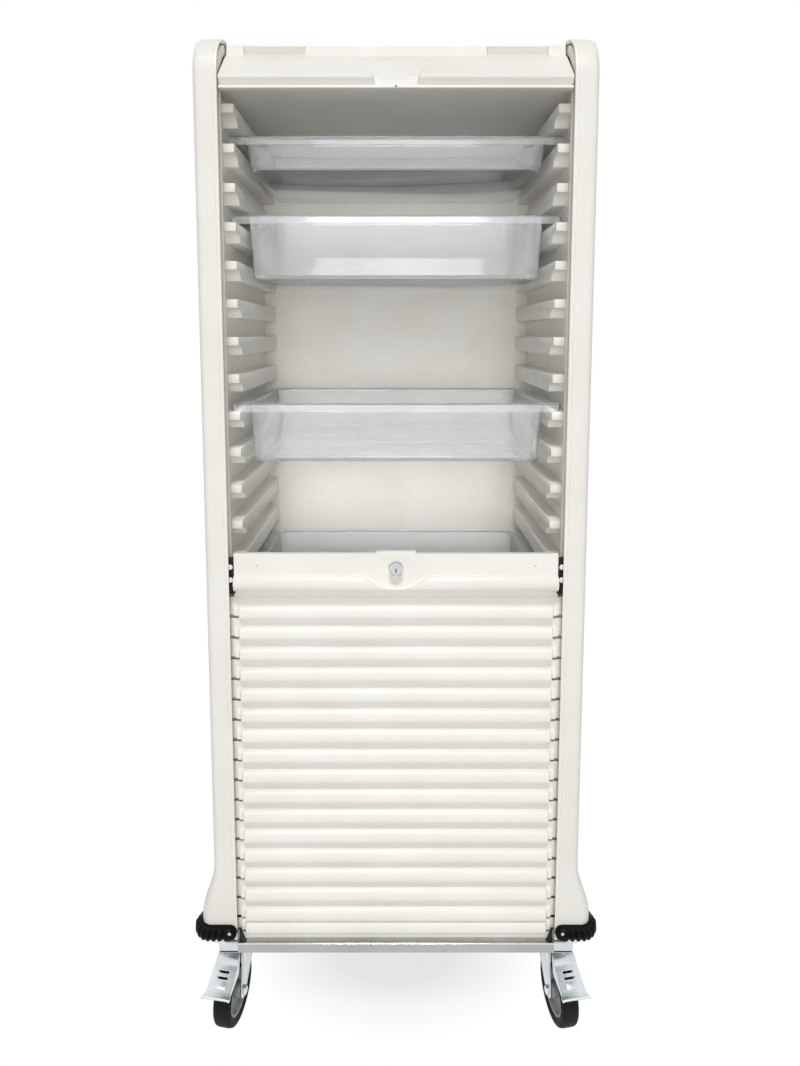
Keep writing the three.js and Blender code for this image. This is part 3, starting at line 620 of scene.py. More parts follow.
@dataclass
class SideShells(SubAssembly):
    """The two formed side shells, open towards the inside."""

    wall: float = 6.0
    opening: float = OPENING_HALF
    side: float = 345.0
    foot: float = FOOT_HALF
    bottom: float = 238.0
    foot_top: float = 284.0
    flare_top: float = 394.0
    top: float = SHELL_TOP
    corner: float = SHELL_CORNER
    shoulder: float = 17.0
    foot_radius: float = 10.0
    edge_radius: float = 13.0
    foot_corner: float = FOOT_CORNER
    depth: float = -2 * FRONT_FACE
    bead: float = 4.6
    groove: float = 1.6
    straight_sections: Point2 = (400.0, 900.0)
    foot_steps: int = 4
    flare_steps: int = 10
    crown_steps: int = 14

    def setback(self, height: float) -> float:
        """Give how far the front lies behind the flat face.

        Args:
            height: Height of the section.

        Returns:
            The distance, which grows round the top corner and under the foot.
        """
        over_top = max(0.0, height - (self.top - self.corner))
        under_foot = max(0.0, self.bottom + self.foot_radius - height)
        top = self.corner - math.sqrt(max(0.0, self.corner**2 - over_top**2))
        return top + self.foot_radius - math.sqrt(max(0.0, self.foot_radius**2 - under_foot**2))

    def reach(self, height: float) -> float:
        """Give the distance of the outer side from the middle.

        Args:
            height: Height of the section.

        Returns:
            The distance, which shrinks over the shoulder and grows down the flare.
        """
        over = max(0.0, height - (self.top - self.shoulder))
        side = self.side - self.shoulder + math.sqrt(max(0.0, self.shoulder**2 - over**2))
        share = min(1.0, max(0.0, (height - self.foot_top) / (self.flare_top - self.foot_top)))
        return side + (self.foot - self.side) * 0.5 * (1 + math.cos(math.pi * share))

    def heights(self) -> list[float]:
        """List the heights of the sections, close together where the shell curves.

        Returns:
            Heights from the bottom to the top.
        """
        foot_turn, crown_turn = math.pi / 2 / self.foot_steps, math.pi / 2 / self.crown_steps
        rise = (self.flare_top - self.foot_top) / self.flare_steps
        start = self.top - self.corner
        foot = [
            self.bottom + self.foot_radius * (1 - math.cos(foot_turn * i))
            for i in range(self.foot_steps + 1)
        ]
        flare = [self.foot_top + rise * i for i in range(self.flare_steps + 1)]
        straight = [self.flare_top + height for height in self.straight_sections]
        crown = [start + self.corner * math.sin(crown_turn * i) for i in range(self.crown_steps + 1)]
        return [*foot, *flare, *straight, *crown]

    def section(self, height: float, hand: int) -> Ring:
        """Outline the outer skin at a height, from the front edge of the opening to the rear one.

        Args:
            height: Height of the section.
            hand: 1 for the right shell, -1 for the left.

        Returns:
            The points of the section.
        """
        front = self.setback(height)
        side = self.reach(height)
        spread = max(0.0, (side - self.side) / (self.foot - self.side))
        radius = self.edge_radius + (self.foot_corner - self.edge_radius) * spread
        radius = min(radius, (side - self.opening) / 2 - self.bead / 2)
        edge = self.opening
        lip = [(edge, front + 1.2), (edge + 0.5, front + 0.3), (edge + 1.6, front)]
        bead_end = edge + self.bead
        channel = [
            (bead_end, front),
            (bead_end + 0.7, front + self.groove),
            (bead_end + 1.7, front + self.groove),
            (bead_end + 2.4, front),
        ]
        turn = arc((side - radius, front + radius), radius, -90, 0, 6)
        half = [*lip, *channel, *turn]
        whole = [*half, *[(x, self.depth - d) for x, d in reversed(half)]]
        return [(hand * x, behind_front(d), height) for x, d in whole]

    def build(self) -> None:
        """Loft each shell and set it in place of its solid."""
        for name, hand in HANDS:
            sections = [self.section(z, hand) for z in self.heights()]
            shell = loft(f"shell_{name}", sections, wrap=False)
            settle(shell, thick_mm=self.wall)
            self.dress(shell, "cabinet", IVORY_ABS, f"side_shell_{name}")


@dataclass
class Interior(SubAssembly):
    """Runner liners, floor, ceiling, back wall, rear cover and roof."""

    liner_rounding: float = 1.8
    sheet_rounding: float = 1.0
    screw_radius: float = 4.0
    screw_side: float = 290.0
    screw_rows: int = 5
    screw_start: float = 0.04
    screw_step: float = 0.23

    def build(self) -> None:
        """Soften the liners, finish the flat panels and screw the rear cover on."""
        for part in ("upper", "lower"):
            for hand, _ in HANDS:
                node = f"liner_{part}_{hand}"
                self.dress(self.skin(node, self.liner_rounding), "cabinet", LIT_LINER_ABS, node)
        for node in ("inner_floor", "inner_ceiling", "back_wall"):
            self.paint(node, LIT_LINER_ABS, self.sheet_rounding)
        for node in ("rear_cover", "roof"):
            self.paint(node, IVORY_ABS, self.sheet_rounding)
        self.fasten_cover()

    def fasten_cover(self) -> None:
        """Put a row of screws down each side of the rear cover."""
        low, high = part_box("rear_cover")
        for row in range(self.screw_rows):
            height = low.z + (high.z - low.z) * (self.screw_start + self.screw_step * row)
            for hand, side in HANDS:
                spot = Matrix.Translation((side * self.screw_side * MM, high.y, height))
                turn = Matrix.Rotation(math.pi, 4, "Z")
                self.screw(
                    f"cover_screw_{hand}_{row}", spot @ turn, self.screw_radius, "cabinet", ZINC_PLATE
                )


@dataclass
class Headers(SubAssembly):
    """The aprons over the front and the rear opening, and the caps that close the shutter's tracks."""

    half_width: float = 300.0
    end_edge: float = 1.2
    top: float = SHELL_TOP
    recess: float = 8.0
    recess_span: Point2 = (160.0, 270.0)
    recess_edge: float = 3.0
    scoop_span: Point2 = (38.0, 72.0)
    scoop_edge: float = 4.0
    scoop_lip: float = 1.5
    slope_start: Point2 = (59.0, 31.0)
    valley: Point2 = (10.6, 96.4)
    pin_side: float = 254.0
    pin_behind: float = 12.0
    pin_height: float = 1835.4
    pin_radius: float = 2.0
    slope: float = 48.0
    hole_behind: float = 3.0
    hole_height: float = 1808.5
    hole_radius: float = 1.6
    cap_span: Point2 = (303.0, 308.0)
    cap_inset: float = 9.0
    cap_width: float = 12.0
    cap_drop: float = 88.0
    corner: float = SHELL_CORNER

    def outer_line(self, recessed: float, scooped: float) -> list[Point2]:
        """Run down the outside from the rear edge to the lip.

        Args:
            recessed: Share of the grip recess in the sloped top.
            scooped: Share of the scoop that flattens the swollen brow.

        Returns:
            Distance behind the front and drop below the shells' top of each corner.
        """
        sink = self.recess * recessed
        top = [(96.0, 4.0), (76.0, 4.0), (73.0, 4.8), (71.6, 7.0), (71.4, 9.5)]
        band = [(71.2 + sink * 0.8, 11.0), (70.6 + sink, 16.0), (69.6 + sink * 1.3, 25.5)]
        swell = [(40.0, 48.0), (12.0, 72.6), (3.0, 80.0), (0.4, 83.2), (0.6, 86.0), (8.6, 94.4)]
        (near, high), (far, low) = self.slope_start, self.valley
        brow = []
        for behind, drop in swell:
            flat = near + (far - near) * (drop - high) / (low - high)
            brow.append((behind + (flat - behind) * scooped, drop))
        lip = [self.valley, (6.0, 97.2), (3.5, 97.4), (3.0, 98.2), (3.0, 101.4), (3.6, 102.0)]
        return [*top, *band, self.slope_start, *brow, *lip]

    def ring(self, x: float, recessed: float = 0.0, scooped: float = 0.0, lean: float = 0.0) -> Ring:
        """Outline the header across its width.

        Args:
            x: Where the section is taken.
            recessed: Share of the grip recess.
            scooped: Share of the scoop.
            lean: How far the section leans outwards from the lip up to the slope's start.

        Returns:
            The closed section.
        """
        inner = [(17.0, 102.0), (18.0, 84.0), (64.0, 41.0), (86.0, 24.0), (88.0, 11.0), (96.0, 11.0)]
        low, high = self.valley[1], self.slope_start[1]
        points = []
        for behind, drop in [*self.outer_line(recessed, scooped), *inner]:
            rise = min(1.0, max(0.0, (low - drop) / (low - high)))
            shift = lean * rise**2 * (1 if x > 0 else -1)
            points.append((x + shift, behind_front(behind), self.top - drop))
        return points

    def half_rings(self, scooped: bool) -> list[Ring]:
        """List the sections of the right half, from the middle outwards.

        Args:
            scooped: Whether the brow is scooped round a catch in the middle.

        Returns:
            The sections.
        """
        near, far = self.recess_span
        foot, shoulder = self.scoop_span
        lean = shoulder - foot
        scoop = [
            self.ring(foot - self.scoop_edge, scooped=1.0, lean=lean),
            self.ring(foot - self.scoop_edge / 2, scooped=0.8, lean=lean),
            self.ring(foot, scooped=0.15, lean=lean),
            self.ring(foot + self.scoop_lip, lean=lean),
        ]
        plain = [
            self.ring(near), self.ring(near + self.recess_edge, 1.0),
            self.ring(far - self.recess_edge, 1.0), self.ring(far),
            self.ring(self.half_width - self.end_edge), self.ring(self.half_width),
        ]
        return [*scoop, *plain] if scooped else plain[-2:]

    def build(self) -> None:
        """Build both headers, the pins, a black dome of painted shade for the catch hole in the front one,
        and the track caps.
        """
        for end, hand in (("front", 1), ("rear", -1)):
            right = self.half_rings(scooped=end == "front")
            left = [[(-x, y, z) for x, y, z in ring] for ring in reversed(right)]
            rings = [[(x, hand * y, z) for x, y, z in ring] for ring in [*left, *right]]
            self.dress(settle(loft(f"header_{end}", rings)), "cabinet", IVORY_ABS, f"{end}_header")
        tilt = Matrix.Rotation(math.radians(-self.slope), 4, "X")
        for name, side in HANDS:
            spot = (side * self.pin_side, behind_front(self.pin_behind), self.pin_height)
            place = Matrix.Translation(Vector(spot) * MM) @ tilt
            self.screw(f"header_pin_{name}", place, self.pin_radius, "cabinet", ZINC_PLATE)
            self.build_cap(name, side)
        # A black nylon dome is painted shade for the catch hole.
        hole = Matrix.Translation(Vector((0, behind_front(self.hole_behind), self.hole_height)) * MM)
        self.screw("header_catch_hole_shade", hole, self.hole_radius, "cabinet", BLACK_NYLON)

    def build_cap(self, name: str, side: int) -> None:
        """Close the track beside the header with a curved plate.

        Args:
            name: Side of the cabinet.
            side: 1 on the right, -1 on the left.
        """
        width, radius, foot = self.cap_width, self.corner - self.cap_inset, self.top - self.cap_drop
        centre = (behind_front(self.corner), self.top - self.corner)
        curve = arc(centre, radius, 180, 90, 10)
        edge = [(y + width, z) for y, z in reversed(arc(centre, radius - width, 180, 90, 10))]
        outline = [(curve[0][0], foot), *curve, *edge, (edge[-1][0], foot)]
        rings = [[(side * x, y, z) for y, z in outline] for x in self.cap_span]
        self.dress(settle(loft(f"track_cap_{name}", rings)), "cabinet", LIT_LINER_ABS)


@dataclass
class LeadBar(SubAssembly):
    """The shutter's lead bar with its shoes, pins and lock."""

    rounding: float = 1.6
    shoe_rounding: float = 1.2
    pin_side: float = 252.0
    pin_height: float = 976.0
    pin_radius: float = 2.2
    button_radius: float = 5.0
    button_heights: Point2 = (972.0, 948.0)
    face: float = 6.0
    lock_height: float = 970.0
    lock_front: float = -7.0
    lock_back: float = 17.0
    lock_radius: float = 12.5
    plug_radius: float = 8.0
    keyway_shade_size: Point2 = (1.8, 9.0)
    keyway_shade_radius: float = 0.8
    keyway_shade_span: Point2 = (0.7, 1.0)

    def build(self) -> None:
        """Build the bar, its shoes, the two pins in its face and the lock."""
        self.dress(self.skin("shutter_bar", self.rounding), "shutter", IVORY_ABS, "shutter_bar")
        for hand, _ in HANDS:
            node = f"shutter_shoe_{hand}"
            self.dress(self.skin(node, self.shoe_rounding), "shutter", BLACK_NYLON, node)
        for hand, side in HANDS:
            spot = (side * self.pin_side * MM, behind_front(self.face) * MM, self.pin_height * MM)
            self.screw(f"bar_pin_{hand}", Matrix.Translation(spot), self.pin_radius, "shutter", ZINC_PLATE)
            low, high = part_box(f"shutter_shoe_{hand}")
            for number, height in enumerate(self.button_heights):
                button = Matrix.Translation(((low.x + high.x) / 2, low.y, height * MM))
                name = f"shoe_button_{hand}_{number + 1}"
                self.screw(name, button, self.button_radius, "shutter", IVORY_ABS)
        self.build_lock()
        self.paint("lock_cam", ZINC_PLATE)

    def build_lock(self) -> None:
        """Turn the lock's barrel and lay a thin black plate in its plug's face as painted shade for the
        keyway.
        """
        place = Matrix.Translation((0, 0, self.lock_height * MM))
        front, back = behind_front(self.lock_front), behind_front(self.lock_back)
        rim, plug = self.lock_radius, self.plug_radius
        barrel = [
            (0.0, back), (rim, back), (rim, front + 1.5), (rim - 1.5, front), (plug + 1.2, front),
            (plug + 0.6, front + 1.6), (plug, front + 1.6), (plug, front + 0.8), (0.0, front + 0.8),
        ]
        body = settle(turned("lock_barrel", barrel, place, 40))
        self.dress(body, "lock", CHROME, "lock_cylinder")
        # The keyway is not cut. A thin black nylon plate in the plug's face is painted shade for it.
        way = rounded_rectangle(*self.keyway_shade_size, self.keyway_shade_radius, 3)
        rings = [
            [(x, front + depth, self.lock_height + z) for x, z in way] for depth in self.keyway_shade_span
        ]
        self.dress(settle(loft("lock_keyway_shade", rings)), "lock", BLACK_NYLON)


@dataclass
class Curtain(SubAssembly):
    """The front run of the shutter: stiff slats between foot and bar.

    A second row of slats waits behind the first.
    """

    pitch: float = 40.0
    first_top: float = 912.0
    foot: float = 246.0
    bar_bottom: float = 927.5
    half_width: float = 287.0
    tongue_half_width: float = 297.5
    tongue_edge: float = 0.8
    tongue_gap: float = 2.5
    tongue_swell: float = 0.45
    web_half_width: float = 308.0
    nose: float = 8.4
    neck: float = 20.4
    back: float = 22.0
    band: tuple[Point2, ...] = (
        (0.42, 0.6), (0.12, 1.8), (0.0, 4.5), (0.03, 9.0), (0.1, 13.5), (0.21, 17.5), (0.38, 21.0),
        (0.65, 23.6), (1.0, 25.2),
    )
    waiting_back: float = 33.0
    waiting_height: float = 48.0
    waiting_swell: float = 0.72
    notch: float = 6.5
    apron_span: Point2 = (888.0, 960.0)
    apron_half_width: float = 293.0
    apron_setback: float = 2.6
    leader_gap: float = 0.3
    leader_lap: float = 8.0
    blend_span: float = 4000.0
    wedge: tuple[Point2, ...] = (
        (286.0, 238.0), (299.0, 238.0), (299.0, 264.0), (295.0, 261.0), (289.0, 242.0)
    )
    wedge_span: Point2 = (4.8, 8.0)
    wedge_rounding: float = 0.8

    def weight(self, height: float) -> float:
        """Give the share of the bar's travel that a slat with its lower edge at a height follows."""
        return min(1.0, max(0.0, (height - self.foot) / (self.bar_bottom - self.foot)))

    def hang(self, slat: bpy.types.Object, bottom: float) -> None:
        """Give a slat its finish and bake its place into its mesh.

        Args:
            slat: The slat.
            bottom: Its lower edge; not used.
        """
        slat.data.materials.append(IVORY_ABS.material())
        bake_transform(slat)

    def slat_profile(self, bottom: float, tall: float, swell: float) -> list[Point2]:
        """Outline a slat from the side: a flat neck over a swollen band that turns under.

        Args:
            bottom: Lower edge.
            tall: Height of the slat.
            swell: Share of the band's full thickness.

        Returns:
            Distance behind the front and height of each corner.
        """
        deep = (self.neck - self.nose) * swell
        band = [(self.neck - deep + deep * share, bottom + rise) for share, rise in self.band]
        top = bottom + tall
        return [(self.back, bottom), (self.neck, bottom), *band, (self.neck, top), (self.back, top)]

    def make_slat(self, name: str, bottom: float, tall: float, setback: float, swell: float) -> None:
        """Build one slat with stepped, notched ends.

        Args:
            name: Name of the slat.
            bottom: Its lower edge.
            tall: Its height.
            setback: How far it stands behind the slats that show.
            swell: Share of the band's full thickness.
        """
        full = self.slat_profile(bottom, tall, swell)
        flat, half = (
            [(d, max(z, bottom + self.notch)) for d, z in self.slat_profile(bottom, tall, swell * share)]
            for share in (0.0, self.tongue_swell)
        )
        ends = [
            (-self.web_half_width, flat), (-self.tongue_half_width, flat),
            (self.tongue_edge - self.tongue_half_width, half), (-self.tongue_gap - self.half_width, half),
            (-self.half_width, full),
        ]
        stations = [*ends, *[(-x, shape) for x, shape in reversed(ends)]]
        rings = [[(x, behind_front(d + setback), z) for d, z in shape] for x, shape in stations]
        slat = settle(loft(name, rings))
        self.hang(slat, bottom)
        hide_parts("shutter_curtain")

    def build(self) -> None:
        """Build both rows of slats, the strips under and behind the bar, and the black feet of the tracks,
        which are partly painted shade.
        """
        count = math.ceil((self.first_top - self.foot) / self.pitch)
        for i in range(count):
            top = self.first_top - i * self.pitch
            bottom = max(self.foot, top - self.pitch)
            self.make_slat(f"slat_{i + 1}", bottom, top - bottom, 0.0, 1.0)
            behind = max(self.foot, bottom - self.pitch / 2)
            self.make_slat(
                f"waiting_slat_{i + 1}", behind, self.waiting_height, self.waiting_back - self.back,
                self.waiting_swell,
            )
        span = (self.first_top + self.leader_gap, self.bar_bottom + self.leader_lap)
        leader = self.make_strip("curtain_leader", span, self.tongue_half_width, 0.0)
        self.dress(leader, "shutter", IVORY_ABS)
        apron = self.make_strip("curtain_apron", self.apron_span, self.apron_half_width, self.apron_setback)
        self.hang(apron, self.apron_span[0])
        self.paint("shutter_stored", IVORY_ABS)
        for hand, side in HANDS:
            self.make_foot_and_shade(hand, side)

    def make_strip(self, name: str, span: Point2, half_width: float, setback: float) -> bpy.types.Object:
        """Build a flat strip of curtain.

        Args:
            name: Name of the strip.
            span: Height of its lower and its upper edge.
            half_width: Half of its width.
            setback: How far it stands behind the slats that show.

        Returns:
            The strip.
        """
        low, high = span
        near, far = self.neck + setback, self.back + setback
        outline = [(far, low), (near, low), (near, high), (far, high)]
        rings = [[(x, behind_front(d), z) for d, z in outline] for x in (-half_width, half_width)]
        return settle(loft(name, rings))

    def make_foot_and_shade(self, hand: str, side: int) -> None:
        """Stand a black nylon wedge beside the lowest slat, where the track ends on the ledge. It is partly
        the track's foot and partly painted shade of the dark gap there.

        Args:
            hand: Side of the cabinet.
            side: 1 on the right, -1 on the left.
        """
        rings = [[(side * x, behind_front(d), z) for x, z in self.wedge] for d in self.wedge_span]
        piece = settle(loft(f"shaded_track_foot_{hand}", rings), round_mm=self.wedge_rounding)
        # Black nylon for the track's foot, and also painted shade of the gap at the track's end.
        self.dress(piece, "cabinet", BLACK_NYLON)


@dataclass
class Trays(SubAssembly):
    """The clear trays, each in place of its solid."""

    wall: float = 2.5
    draft: float = 6.0
    side_flange: float = 26.0
    end_flange: float = 24.0
    rim_height: float = 15.0
    rim_radius: float = 14.0
    body_radius: float = 22.0
    heel: float = 6.0
    inner_heel: float = 5.0
    rib_count: int = 9
    rib_width: float = 4.0
    rib_height: float = 1.6
    rib_end_gap: float = 24.0
    rib_side_gap: float = 30.0
    count: int = 4

    def build(self) -> None:
        """Build all trays with their floor ribs."""
        for number in range(1, self.count + 1):
            self.build_tray(number)

    def build_tray(self, number: int) -> None:
        """Build one tray as a thin shell with a folded rim and a tapered body.

        Args:
            number: Place of the tray, from the top.
        """
        node = f"tray_{number}"
        low, high = (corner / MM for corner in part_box(node))
        centre = (low + high) / 2
        width, depth, height = high - low
        body = (width - 2 * self.side_flange, depth - 2 * self.end_flange)
        wall, foot = self.wall, height
        draft, corner, edge = self.draft, self.body_radius, self.rim_radius
        heel, inner = self.heel, self.inner_heel

        def ring(size: Point2, inset: float, radius: float, drop: float) -> Ring:
            """Outline the tray at a depth below the rim's top."""
            outline = rounded_rectangle(size[0] - 2 * inset, size[1] - 2 * inset, radius)
            return [(centre.x + x, centre.y + y, high.z - drop) for x, y in outline]

        rim = (width, depth)
        rings = [
            ring(body, wall + draft + inner, corner - heel, foot - wall),
            ring(body, wall + draft, corner - heel / 2, foot - wall - inner),
            ring(body, wall, corner - wall, 2.0),
            ring(body, wall - 1.2, corner - wall, 0.4),
            ring(body, wall - 3.0, corner, 0.0),
            ring(rim, 1.5, edge - 1.5, 0.0),
            ring(rim, 0.4, edge - 0.4, 0.4),
            ring(rim, 0.0, edge, 1.5),
            ring(rim, 0.0, edge, self.rim_height),
            ring(rim, wall, edge - wall, self.rim_height),
            ring(rim, wall, edge - wall, wall),
            ring(body, 0.0, corner, wall),
            ring(body, draft, corner, foot - heel),
            ring(body, draft + heel / 4, corner - heel / 4, foot - heel / 3),
            ring(body, draft + heel, corner - heel, foot),
        ]
        piece = settle(loft(f"{node}_shell", rings))
        self.dress(piece, node, CLEAR_PC, node)
        self.build_ribs(number, centre, Vector((body[0], body[1], high.z - foot + wall)))

    def build_ribs(self, number: int, centre: Vector, inside: Vector) -> None:
        """Lay low ribs across a tray's floor.

        Args:
            number: Place of the tray, from the top.
            centre: Middle of the tray.
            inside: Width and depth of the body, and height of the floor's upper side.
        """
        length = inside.x / 2 - self.draft - self.rib_end_gap
        spread = inside.y - 2 * (self.draft + self.rib_side_gap)
        profile = [(-0.5, 0.05), (0.5, 0.05), (0.34, 0.8), (0.0, 1.0), (-0.34, 0.8)]
        for i in range(self.rib_count):
            middle = centre.y + spread * (i / (self.rib_count - 1) - 0.5)
            rings = [
                [(x, middle + u * self.rib_width, inside.z + v * self.rib_height) for u, v in profile]
                for x in (-length, length)
            ]
            rib = settle(loft(f"tray_{number}_rib_{i + 1}", rings))
            self.dress(rib, f"tray_{number}", CLEAR_PC)


@dataclass
class Base(SubAssembly):
    """The folded stainless rails under the shells, and the caps on the tubes' ends."""

    rounding: float = 1.0
    hem: float = 1.8
    hem_half: float = 301.0
    cap_lift: float = 5.0
    cap_thickness: float = 2.2
    cap_edge: float = 1.4
    cap_corner: float = 3.0

    def build(self) -> None:
        """Finish the rails, with the brush marks along each one, and cap the tubes."""
        for node in ("base_front_rail", "base_rear_rail"):
            self.paint(node, STAINLESS_X, self.rounding)
            self.hem_ledge(node)
        for hand, _ in HANDS:
            self.paint(f"base_side_rail_{hand}", STAINLESS_Y, self.rounding)
            for end in ("front", "rear"):
                self.cap_tube(hand, end)

    def hem_ledge(self, node: str) -> None:
        """Roll a polished hem along a ledge's outer edge.

        Args:
            node: The rail that carries the ledge.
        """
        low, high = (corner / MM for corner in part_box(node))
        outer, out = (low.y, -1) if low.y < 0 else (high.y, 1)
        centre = (outer + out * self.hem * 0.2, high.z - self.hem * 0.6)
        bow = arc(centre, self.hem, 0, 345, 23)
        rings = [[(x, y, z) for y, z in bow] for x in (-self.hem_half, self.hem_half)]
        self.dress(settle(loft(f"{node}_hem", rings)), "cabinet", CHROME)

    def cap_tube(self, hand: str, end: str) -> None:
        """Cover one end of a side rail with a pressed cap that leaves a slit at its foot.

        Args:
            hand: Side of the cabinet.
            end: Front or rear.
        """
        low, high = (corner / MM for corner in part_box(f"base_side_rail_{hand}"))
        low.z += self.cap_lift
        centre, size = (low + high) / 2, high - low
        face, out = (low.y, -1) if end == "front" else (high.y, 1)
        thick, edge = self.cap_thickness, self.cap_edge
        rings = []
        for inset, proud in ((0.0, 0.1), (0.0, thick - edge), (edge, thick)):
            outline = rounded_rectangle(size.x - 2 * inset, size.z - 2 * inset, self.cap_corner - inset)
            rings.append([(centre.x + u, face + out * proud, centre.z + v) for u, v in outline])
        self.dress(settle(loft(f"rail_cap_{end}_{hand}", rings)), "cabinet", ZINC_PLATE)


@dataclass
class Bumpers(SubAssembly):
    """Ribbed rubber bumpers round the four corners of the foot."""

    middle: float = 262.0
    half_height: float = 14.0
    face: float = FRONT_FACE
    side: float = FOOT_HALF
    start: float = OPENING_HALF
    side_leg: float = 52.0
    corner: float = FOOT_CORNER
    crest: float = 15.0
    valley: float = 9.5
    notch: float = 3.6
    ribs: int = 10
    steps_per_rib: int = 14
    clearance: float = 0.3
    plain_end: float = 20.0
    tip: float = 34.0
    rib_fullness: float = 0.6
    tip_fullness: float = 0.6
    face_fullness: float = 0.6
    edge_fullness: float = 0.8
    least_taper: float = 0.08
    end_reach: float = 0.4
    screw_spot: float = 12.0
    screw_sink: float = 1.2
    screw_rise: float = 6.0
    screw_radius: float = 3.2

    def length(self) -> float:
        """Give the bumper's length along the foot, measured at the ribs' crests in the corner."""
        front_leg = self.side - self.corner - self.start
        return front_leg + (self.corner + self.crest) * math.pi / 2 + self.side_leg - self.corner

    def spot(self, travel: float) -> tuple[Vector, Vector]:
        """Find a place on the foot's surface under the front right bumper.

        Args:
            travel: Distance from the inner end.

        Returns:
            The point in plan and the direction that faces out there.
        """
        front_leg = self.side - self.corner - self.start
        bend = (self.corner + self.crest) * math.pi / 2
        turn = min(1.0, max(0.0, (travel - front_leg) / bend)) * math.pi / 2
        out = Vector((math.sin(turn), -math.cos(turn)))
        centre = Vector((self.side - self.corner, self.face + self.corner))
        before, after = min(0.0, travel - front_leg), max(0.0, travel - front_leg - bend)
        return centre + out * self.corner + Vector((before, after)), out

    def swell(self, travel: float) -> Point3:
        """Give the bumper's reach and its height over and under its middle, so far along it.

        Args:
            travel: Distance from the inner end.

        Returns:
            How far it stands out, how far it goes up and how far it goes down.
        """
        length = self.length()
        ribbed = max(0.0, travel - self.plain_end) / (length - self.plain_end)
        wave = abs(math.cos(math.pi * self.ribs * ribbed)) ** self.rib_fullness
        near = min(1.0, travel / self.half_height)
        far = min(1.0, (length - travel) / self.tip)
        taper = max(self.least_taper, math.sqrt(1 - (1 - near) ** 2) * far**self.tip_fullness)
        reach = self.valley + (self.crest - self.valley) * wave
        under = self.half_height - self.notch * (1 - wave)
        reach *= self.end_reach + (1 - self.end_reach) * taper
        return reach, self.half_height * taper, under * taper

    def section(self, travel: float) -> Ring:
        """Outline the front right bumper across its length: flat behind, full and round in front.

        Args:
            travel: Distance from the inner end.

        Returns:
            The closed section.
        """
        place, out = self.spot(travel)
        reach, over, under = self.swell(travel)
        ring = []
        for u, v in arc((0.0, 0.0), 1.0, -90, 90, 14):
            full = max(0.0, u) ** self.face_fullness
            spot = place + out * (self.clearance + (reach - self.clearance) * full)
            rise = abs(v) ** self.edge_fullness * (over if v > 0 else -under)
            ring.append((spot.x, spot.y, self.middle + rise))
        return ring

    def build(self) -> None:
        """Build the bumper of each corner with the screw in its inner end."""
        steps = self.ribs * self.steps_per_rib
        sections = [self.section(self.length() * i / steps) for i in range(steps + 1)]
        for hand, sx in HANDS:
            for end, sy in (("front", 1), ("rear", -1)):
                rings = [[(sx * x, sy * y, z) for x, y, z in ring] for ring in sections]
                name = f"bumper_{end}_{hand}"
                piece = settle(loft(f"{name}_ribbed", rings))
                self.dress(piece, "cabinet", BLACK_RUBBER, name)
                self.add_screw(name, sx, sy)

    def add_screw(self, name: str, sx: int, sy: int) -> None:
        """Put the screw into a bumper's inner end.

        Args:
            name: The bumper.
            sx: 1 on the right, -1 on the left.
            sy: 1 at the front, -1 at the rear.
        """
        place, out = self.spot(self.screw_spot)
        seat = place + out * (self.swell(self.screw_spot)[0] - self.screw_sink)
        spot = Vector((sx * seat.x, sy * seat.y, self.middle + self.screw_rise))
        turn = Matrix.Rotation(0.0 if sy > 0 else math.pi, 4, "Z")
        self.screw(
            f"{name}_screw", Matrix.Translation(spot * MM) @ turn, self.screw_radius, "cabinet", CHROME
        )


